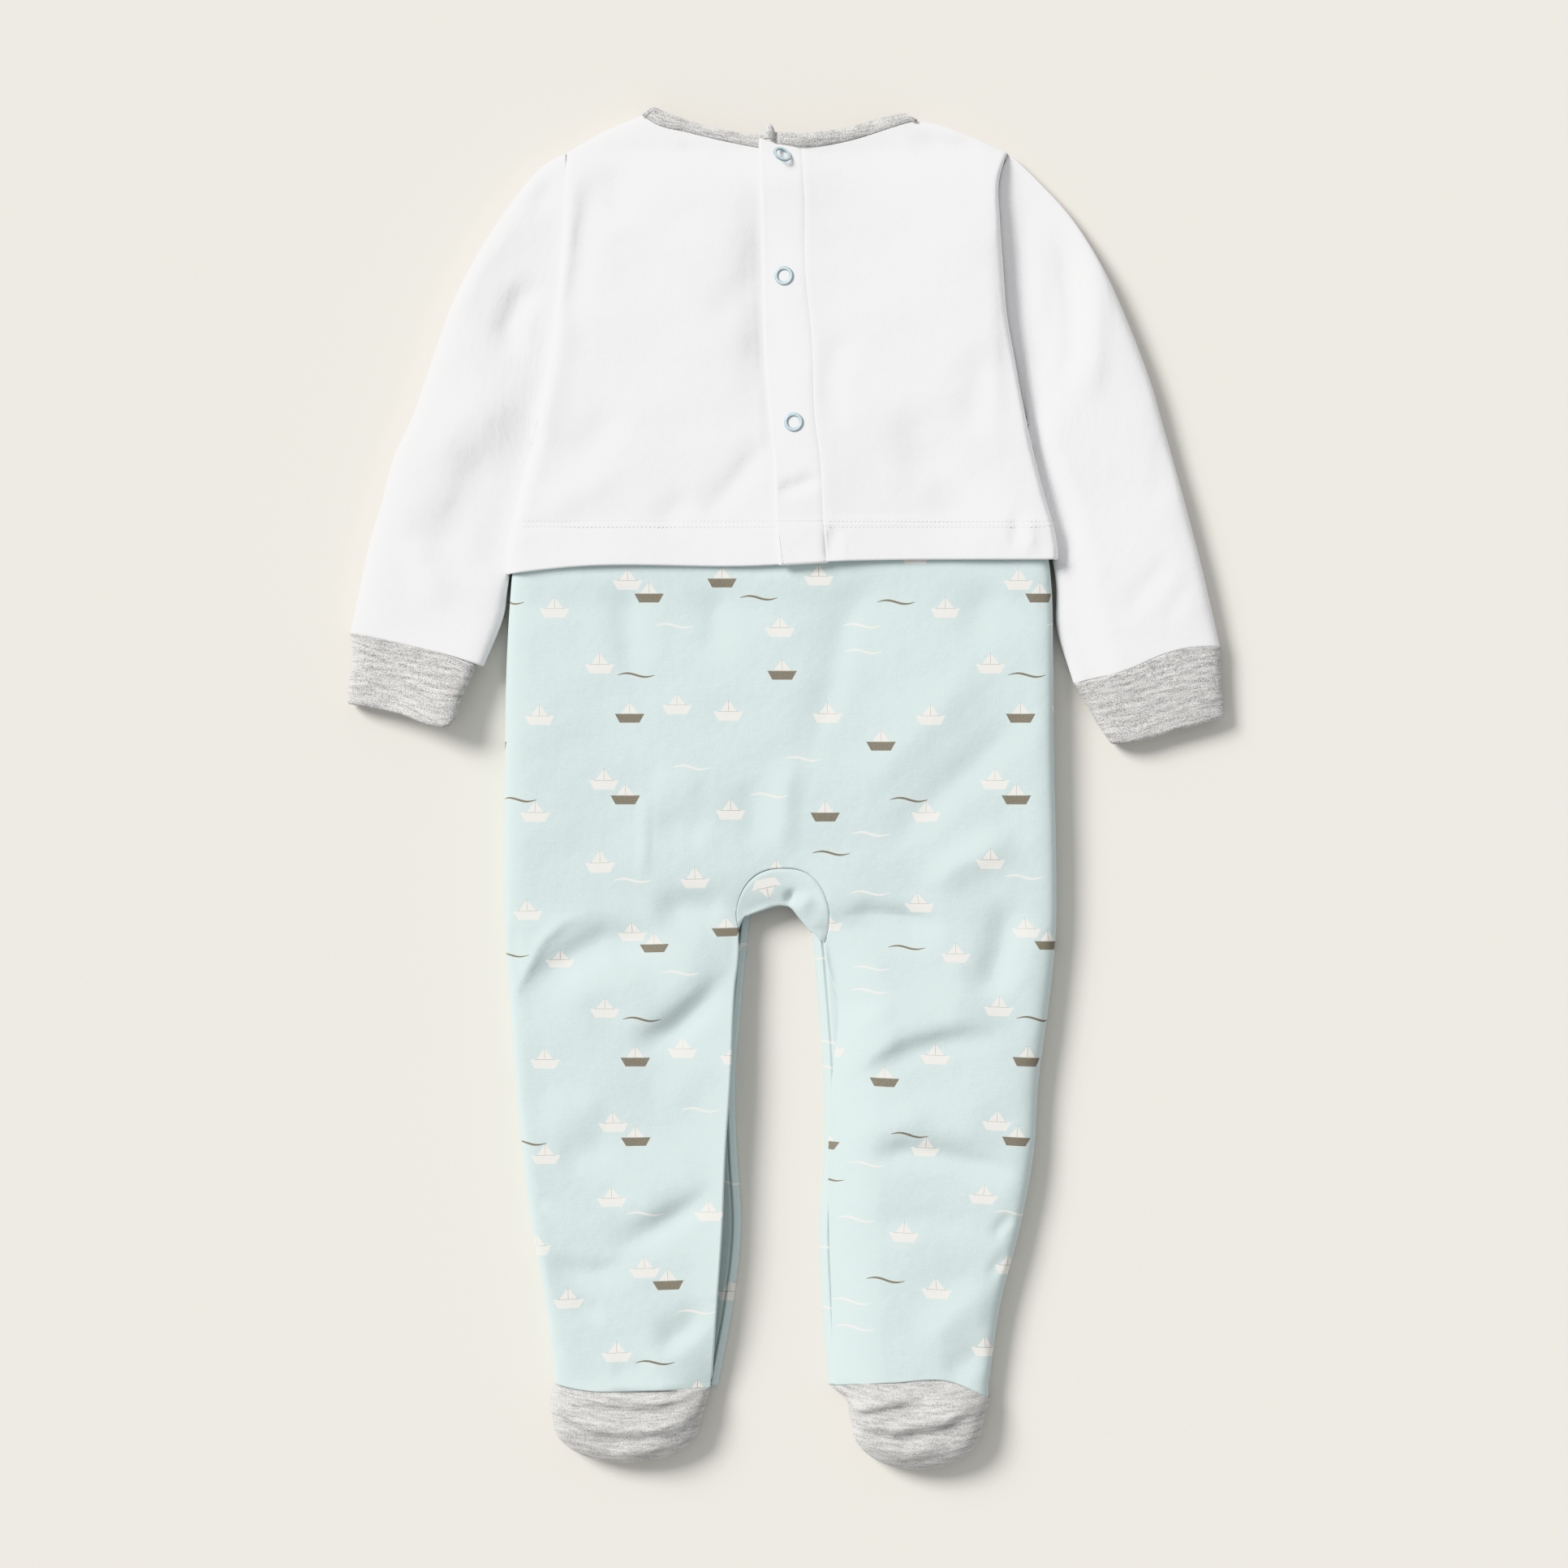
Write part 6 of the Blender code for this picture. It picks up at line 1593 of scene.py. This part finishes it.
def trousers_leg(which, start, cell, u, inner_edge, seam_side):
    """Plan of one leg, from the crotch to the ankle seam."""
    foot = FEET[which]
    v = spaced(abs(LEG_END - start), cell, EDGE, EDGE)
    ankle = TROUSERS["y"][0]
    end_x = between(*sorted((side(TROUSERS, which, ankle), inner_edge(ankle))), u)
    y = between(start, line(foot["seam"], end_x) + seam_side, v[:, None])
    outer_x = side(TROUSERS, which, y)
    inner_x = inner_edge(y)
    low, high = (outer_x, inner_x) if which == "left" else (inner_x, outer_x)
    return np.stack((between(low, high, u), y), axis=-1)


def build_trousers(name, node, facing, surface, seam, waist_share, leg_u, cell, inner_edges,
                   seam_side):
    """The back or the front of the trousers: a body whose last row goes on as two legs."""
    right_u = 1 - leg_u[::-1]
    v = spaced(TROUSERS_TOP - seam[0, 1], cell, EDGE, EDGE)
    body = trousers_body(seam, v, waist_share, leg_u, right_u)
    columns = body.shape[1]
    found = [body.reshape(-1, 2)]
    quads = [grid_quads(len(v), columns)]
    last = np.arange((len(v) - 1) * columns, len(v) * columns)
    for which, u, start, joined in (("left", leg_u, seam[0, 1], last[:len(leg_u)]),
                                    ("right", right_u, seam[-1, 1], last[-len(leg_u):])):
        leg = trousers_leg(which, start, cell, u, inner_edges[which], seam_side)[1:]
        base = sum(len(part) for part in found)
        numbers = base + np.arange(leg.shape[0] * leg.shape[1]).reshape(leg.shape[:2])
        quads.append(number_quads(np.vstack((joined, numbers))))
        found.append(leg.reshape(-1, 2))
    x, y = np.vstack(found).T
    quads = np.vstack(quads)
    points = np.column_stack((x, y, surface(x, y)))

    # level edges at the side seams, upright ones along the inner legs and the arch
    rim = np.zeros(len(points), dtype=bool)
    rim[np.unique(border(quads))] = True
    outer = np.abs(inside(TROUSERS, x, y)) < NEAR
    ends = (y > TROUSERS_TOP - NEAR) | (y < TROUSERS["y"][0] + ANKLE_SLACK)
    plumb = rim & ~outer & ~ends
    across = (rim & ends)[:, None] * (0.0, 1.0, 0.0)
    free = plumb & (y < GUSSET_ARCH["right_y"]) if facing == "up" else plumb
    shell(name, node, "printed_jersey", points, quads, JERSEY, facing, wrapped(points),
          rim & outer, plumb, across, free, printed=True)


def build_bottom_back():
    whole = arch()
    first = whole[:, 0].argmin()
    last = whole[:, 0].argmax()
    inner_edges = {"left": lambda y: leg_inner(whole[first::-1], "inner_left", y),
                   "right": lambda y: leg_inner(whole[last:], "inner_right", y)}
    build_trousers("trousers_back_cloth", "bottom_back", "up", trousers_back_z,
                   whole[first:last + 1], WAIST_SPREAD,
                   spaced(BACK_LEG_WIDTH, UPPER_CELL, UPPER_ROLL, EDGE), UPPER_CELL,
                   inner_edges, -SEAM_LAP)


def build_bottom_front():
    centre = np.linspace(0, 1, FRONT_CROTCH_COLUMNS)
    reach = np.clip(1 - np.abs(2 * centre - 1) / FRONT_CROTCH_REACH, 0, 1)
    seam_x = between(band_edge("left", FRONT_CROTCH_SIDE), band_edge("right", FRONT_CROTCH_SIDE),
                     centre)
    seam_y = between(FRONT_CROTCH_SIDE, FRONT_CROTCH_TOP, np.sqrt(reach))
    inner_edges = {"left": lambda y: band_edge("left", y),
                   "right": lambda y: band_edge("right", y)}
    build_trousers("trousers_front_cloth", "bottom_front", "down", trousers_front_z,
                   np.column_stack((seam_x, seam_y)), 0,
                   spaced(FRONT_LEG_WIDTH, LOWER_CELL, LOWER_ROLL), LOWER_CELL,
                   inner_edges, FOOT_SEAM_SIDE)


def build_gusset():
    """The crescent between the arch and the crotch's free edge."""
    seam = arch()
    low_x = np.linspace(CROTCH_EDGE["x"][0], CROTCH_EDGE["x"][-1], ARCH_COLUMNS)
    low = np.column_stack((low_x, line(CROTCH_EDGE, low_x)))
    start = seam - unit(low - seam) * SEAM_LAP
    grid = between(start, low, GUSSET_ROWS[:, None, None])
    x = grid[..., 0]
    y = grid[..., 1]
    z = trousers_back_z(x, y)
    z[:2] -= np.array(GUSSET_LOW)[:, None]
    flat = (grid - GUSSET_MIDDLE) @ np.array(GUSSET_GRAIN).T + GUSSET_PRINT + PRINT_ORIGIN
    panel("gusset_cloth", "crotch_gusset", "printed_jersey", x, y, z, JERSEY, "up", flat,
          plumb=ALL_ROUND, free="last", printed=True)


def build_leg_bands():
    """Folded bands on the floor along the front's inner-leg edges."""
    for which, sign, profile in (("left", -1, BAND_LEFT), ("right", 1, BAND_RIGHT)):
        start = FRONT_CROTCH_SIDE - GAP
        ankle = TROUSERS["y"][0]
        u = spaced(LEG_BAND_WIDTH, NARROW_CELL, BAND_STATIONS, EDGE)
        v = spaced(abs(ankle - start), UPPER_CELL, EDGE, EDGE)
        end_x = between(side(LEG_BANDS, which, ankle), band_edge(which, ankle), u)
        end_y = line(FEET[which]["seam"], end_x) + FOOT_SEAM_SIDE
        y = between(start, end_y, v[:, None])
        x = between(side(LEG_BANDS, which, y), band_edge(which, y) - sign * GAP, u)
        at = u * LEG_BAND_WIDTH
        z = np.broadcast_to(smooth(at, profile["at"], profile["low"]), x.shape)
        high = smooth(at, profile["at"], profile["high"] - profile["low"])
        flat = np.stack((x + BAND_PRINT[0] * sign, y + BAND_PRINT[1]), axis=-1)
        panel("leg_band_" + which, "leg_placket_" + which, "printed_jersey", x, y, z,
              np.broadcast_to(high, x.shape), "down", flat, plumb=ALL_ROUND, free="left",
              printed=True)


# ---- the feet ----

def foot_plan(foot, u, v):
    """Plan of a foot from the ankle seam, v = 0, to the toe, v = 1."""
    sides = foot["sides"]
    start = between(sides["left"][0], sides["right"][0], u)
    toe = foot["corner"] - (foot["corner"] - foot["toe"]) * np.sqrt(1 - (2 * u - 1) ** 2)
    seam = line(foot["seam"], start) - FOOT_SEAM_SIDE
    y = between(seam, toe, v[:, None])
    down = np.clip((y - seam) / (foot["corner"] - seam), 0, 1)
    left = smooth(down, sides["v"], sides["left"])
    right = smooth(down, sides["v"], sides["right"])
    return between(left, right, u), y


def foot_outline(foot):
    """The foot's closed edge: down one side, round the toe, up the other side."""
    v = np.linspace(0, 1, FOOT_SIDE_POINTS)
    u = (1 - np.cos(np.linspace(0, math.pi, FOOT_TOE_POINTS))) / 2
    grid = np.stack(foot_plan(foot, u, v), axis=-1)
    return np.vstack((grid[:, 0], grid[-1, 1:-1], grid[::-1, -1]))


def build_foot(which, part, facing):
    foot = FEET[which]
    upper = facing == "up"
    bend = UPPER_ROLL if upper else LOWER_ROLL
    cell = FOOT_CELL if upper else LOWER_CELL
    width = foot["sides"]["right"][1] - foot["sides"]["left"][1]
    length = abs(foot["toe"] - foot["seam"]["y"][1])
    x, y = foot_plan(foot, spaced(width, cell, bend, bend), spaced(length, cell, EDGE, bend))
    edge = distance_to(foot_outline(foot), x, y)
    edge[edges(x.shape, "last left right")] = 0
    if upper:
        crown = between(TROUSERS["crown"][0], foot["crown"], step_up(y[0] - y, 0, FOOT_RISE))
        z = SEAM_Z + GAP / 2 + (crown - SEAM_Z + folds(x, y)) * roll(edge)
        z[:2] -= np.array(SEAM_LOW)[::-1, None]
    else:
        z = (SEAM_Z - GAP / 2) * (1 - roll(edge, CURL))
    flat = np.stack((x, y - FOOT_DRAPE * (x - x.mean()) ** 2), axis=-1)
    panel(f"{part}_cloth_{which}", f"foot_{part}_{which}", "heather_grey_jersey", x, y, z,
          JERSEY, facing, flat, level="last left right", square="first")


# ---- stitches ----

def capsules(name, starts, ends, radius, finish):
    """Short rounded threads from each start to each end, as one mesh."""
    span = ends - starts
    along = unit(span)
    first = unit(np.cross(along, (0.0, 0.0, 1.0)))
    second = np.cross(along, first)
    turn = 2 * math.pi * np.arange(THREAD_SIDES)[:, None] / THREAD_SIDES
    spoke = first[:, None] * np.cos(turn) + second[:, None] * np.sin(turn)
    points = np.stack([starts[:, None] + span[:, None] * share + radius * size * spoke
                       for share, size in THREAD_SHAPE], axis=1)
    count = len(THREAD_SHAPE) * THREAD_SIDES
    base = np.arange(len(starts))[:, None, None] * count
    body = grid_quads(len(THREAD_SHAPE), THREAD_SIDES, closed=True) + base
    cap = np.arange(THREAD_SIDES)[None] + base[:, 0]
    faces = body.reshape(-1, 4).tolist() + cap.tolist()
    faces += (cap[:, ::-1] + count - THREAD_SIDES).tolist()
    mesh = bpy.data.meshes.new(name)
    mesh.from_pydata((points.reshape(-1, 3) * MM).tolist(), [], faces)
    mesh.update()
    mesh.shade_smooth()
    return link(name, mesh, finish)


def hem_stitches(x_from, x_to, surface):
    """Starts and ends of the hem's stitches, row by row, between two places across."""
    x = np.arange(math.ceil(x_from / STITCH_PITCH), x_to / STITCH_PITCH) * STITCH_PITCH
    x = x[x + STITCH_LONG < x_to]
    found = []
    for share in (0.0, 1.0):
        at = np.tile(x + STITCH_LONG * share, len(SEAM_ROWS))
        y = np.repeat(SEAM_ROWS, len(x)) + STITCH_SLANT * (share - 0.5)
        found.append(np.column_stack((at, y, surface(at, y) - STITCH_SUNK)))
    return found


def build_hem_stitches():
    y = SEAM_ROWS[0]
    for which, start, end, surface in (
            ("left", torso_left(y), placket_free(y), top_back_z),
            ("right", placket_seam(y), torso_right(y), right_back_z)):
        near_start, near_end = STITCH_ENDS[which]
        starts, ends = hem_stitches(start + near_start, end - near_end, surface)
        piece = capsules("hem_stitches_" + which, starts, ends, STITCH_RADIUS, WHITE_THREAD)
        place_piece(piece, "white_jersey")


# ---- the snaps ----

def build_snaps():
    """Ring snaps that lie on the placket, turned with its surface."""
    angles = np.radians(np.linspace(0, 360, SNAP_WALL_POINTS, endpoint=False))
    profile = SNAP_WIRE * np.column_stack((np.cos(angles), SNAP_FLAT * np.sin(angles)))
    turns = np.radians(np.linspace(0, 360, SNAP_POINTS, endpoint=False))
    for number, (x, y, *extra) in enumerate(zip(*SNAPS.values()), start=1):
        step = SLOPE_STEP
        slope_x = float(top_back_z(x + step, y) - top_back_z(x - step, y)) / (2 * step)
        slope_y = float(top_back_z(x, y + step) - top_back_z(x, y - step)) / (2 * step)
        normal = unit(np.array((extra[0] - slope_x, extra[1] - slope_y, 1.0)))
        first = unit(np.cross((0.0, 1.0, 0.0), normal))
        second = np.cross(normal, first)
        lean = math.hypot(*extra)
        z = float(top_back_z(x, y)) + PLACKET_LIFT + SNAP_RADIUS * lean / math.hypot(1.0, lean)
        centre = np.array((x, y, z)) + normal * (SNAP_WIRE * SNAP_SEAT)
        spoke = np.cos(turns)[:, None] * first + np.sin(turns)[:, None] * second
        radius = SNAP_RADIUS + profile[:, 0]
        rings = centre + spoke[:, None] * radius[None, :, None] + normal * profile[None, :, 1:2]
        count = len(turns) * len(profile)
        quads = grid_quads(len(turns) + 1, len(profile), closed=True) % count
        mesh = bpy.data.meshes.new(f"ring_snap_{number}")
        mesh.from_pydata((rings.reshape(-1, 3) * MM).tolist(), [], quads.tolist())
        mesh.update()
        mesh.shade_smooth()
        # each corner's height on the ring's wall, which the enamel turns into painted shade low on the
        # ring
        height = profile[corner_vertices(mesh) % len(profile), 1] / profile[:, 1].max()
        add_map(mesh, "cloth", np.column_stack((height, height)))
        place_piece(link(mesh.name, mesh, MATERIALS["snap_enamel"]), "snap_enamel",
                    f"snap_{number}")


# ---- camera, light and floor ----

def build_stage():
    mesh = bpy.data.meshes.new("floor")
    corners = [(x * FLOOR_HALF, y * FLOOR_HALF, 0) for x, y in ((-1, -1), (1, -1), (1, 1), (-1, 1))]
    mesh.from_pydata(corners, [], [(0, 1, 2, 3)])
    floor = link("floor", mesh, floor_material())
    floor.location.z = -FLOOR_DROP * MM

    scene = bpy.context.scene
    camera = bpy.data.objects.new("camera", bpy.data.cameras.new("camera"))
    camera.data.lens = SENSOR * CAMERA_HIGH / VIEW_SIDE
    camera.data.sensor_width = SENSOR
    camera.data.clip_end = VIEW_END
    camera.location = (VIEW_CENTRE[0] * MM, VIEW_CENTRE[1] * MM, CAMERA_HIGH * MM)
    scene.collection.objects.link(camera)
    scene.camera = camera

    light = bpy.data.lights.new("key", "SUN")
    light.energy = KEY_STRENGTH
    light.angle = math.radians(KEY_WIDTH)
    light.color = KEY_COLOUR
    lamp = bpy.data.objects.new("key", light)
    lamp.rotation_euler = (0.0, math.radians(KEY_ELEVATION - 90), math.radians(-KEY_TURN))
    scene.collection.objects.link(lamp)

    world = bpy.data.worlds.new("studio")
    world.use_nodes = True
    feed(world.node_tree, world.node_tree.nodes["Background"],
         {"Color": AMBIENT_COLOUR, "Strength": AMBIENT})
    scene.world = world
    scene.view_settings.view_transform = "Khronos PBR Neutral"


def main():
    build_stage()
    build_top_backs()
    build_placket()
    build_top_front()
    build_sleeves()
    build_binding()
    build_bottom_back()
    build_bottom_front()
    build_gusset()
    build_leg_bands()
    for part, facing in (("sole", "up"), ("vamp", "down")):
        for which in ("left", "right"):
            build_foot(which, part, facing)
    build_hem_stitches()
    build_snaps()


main()
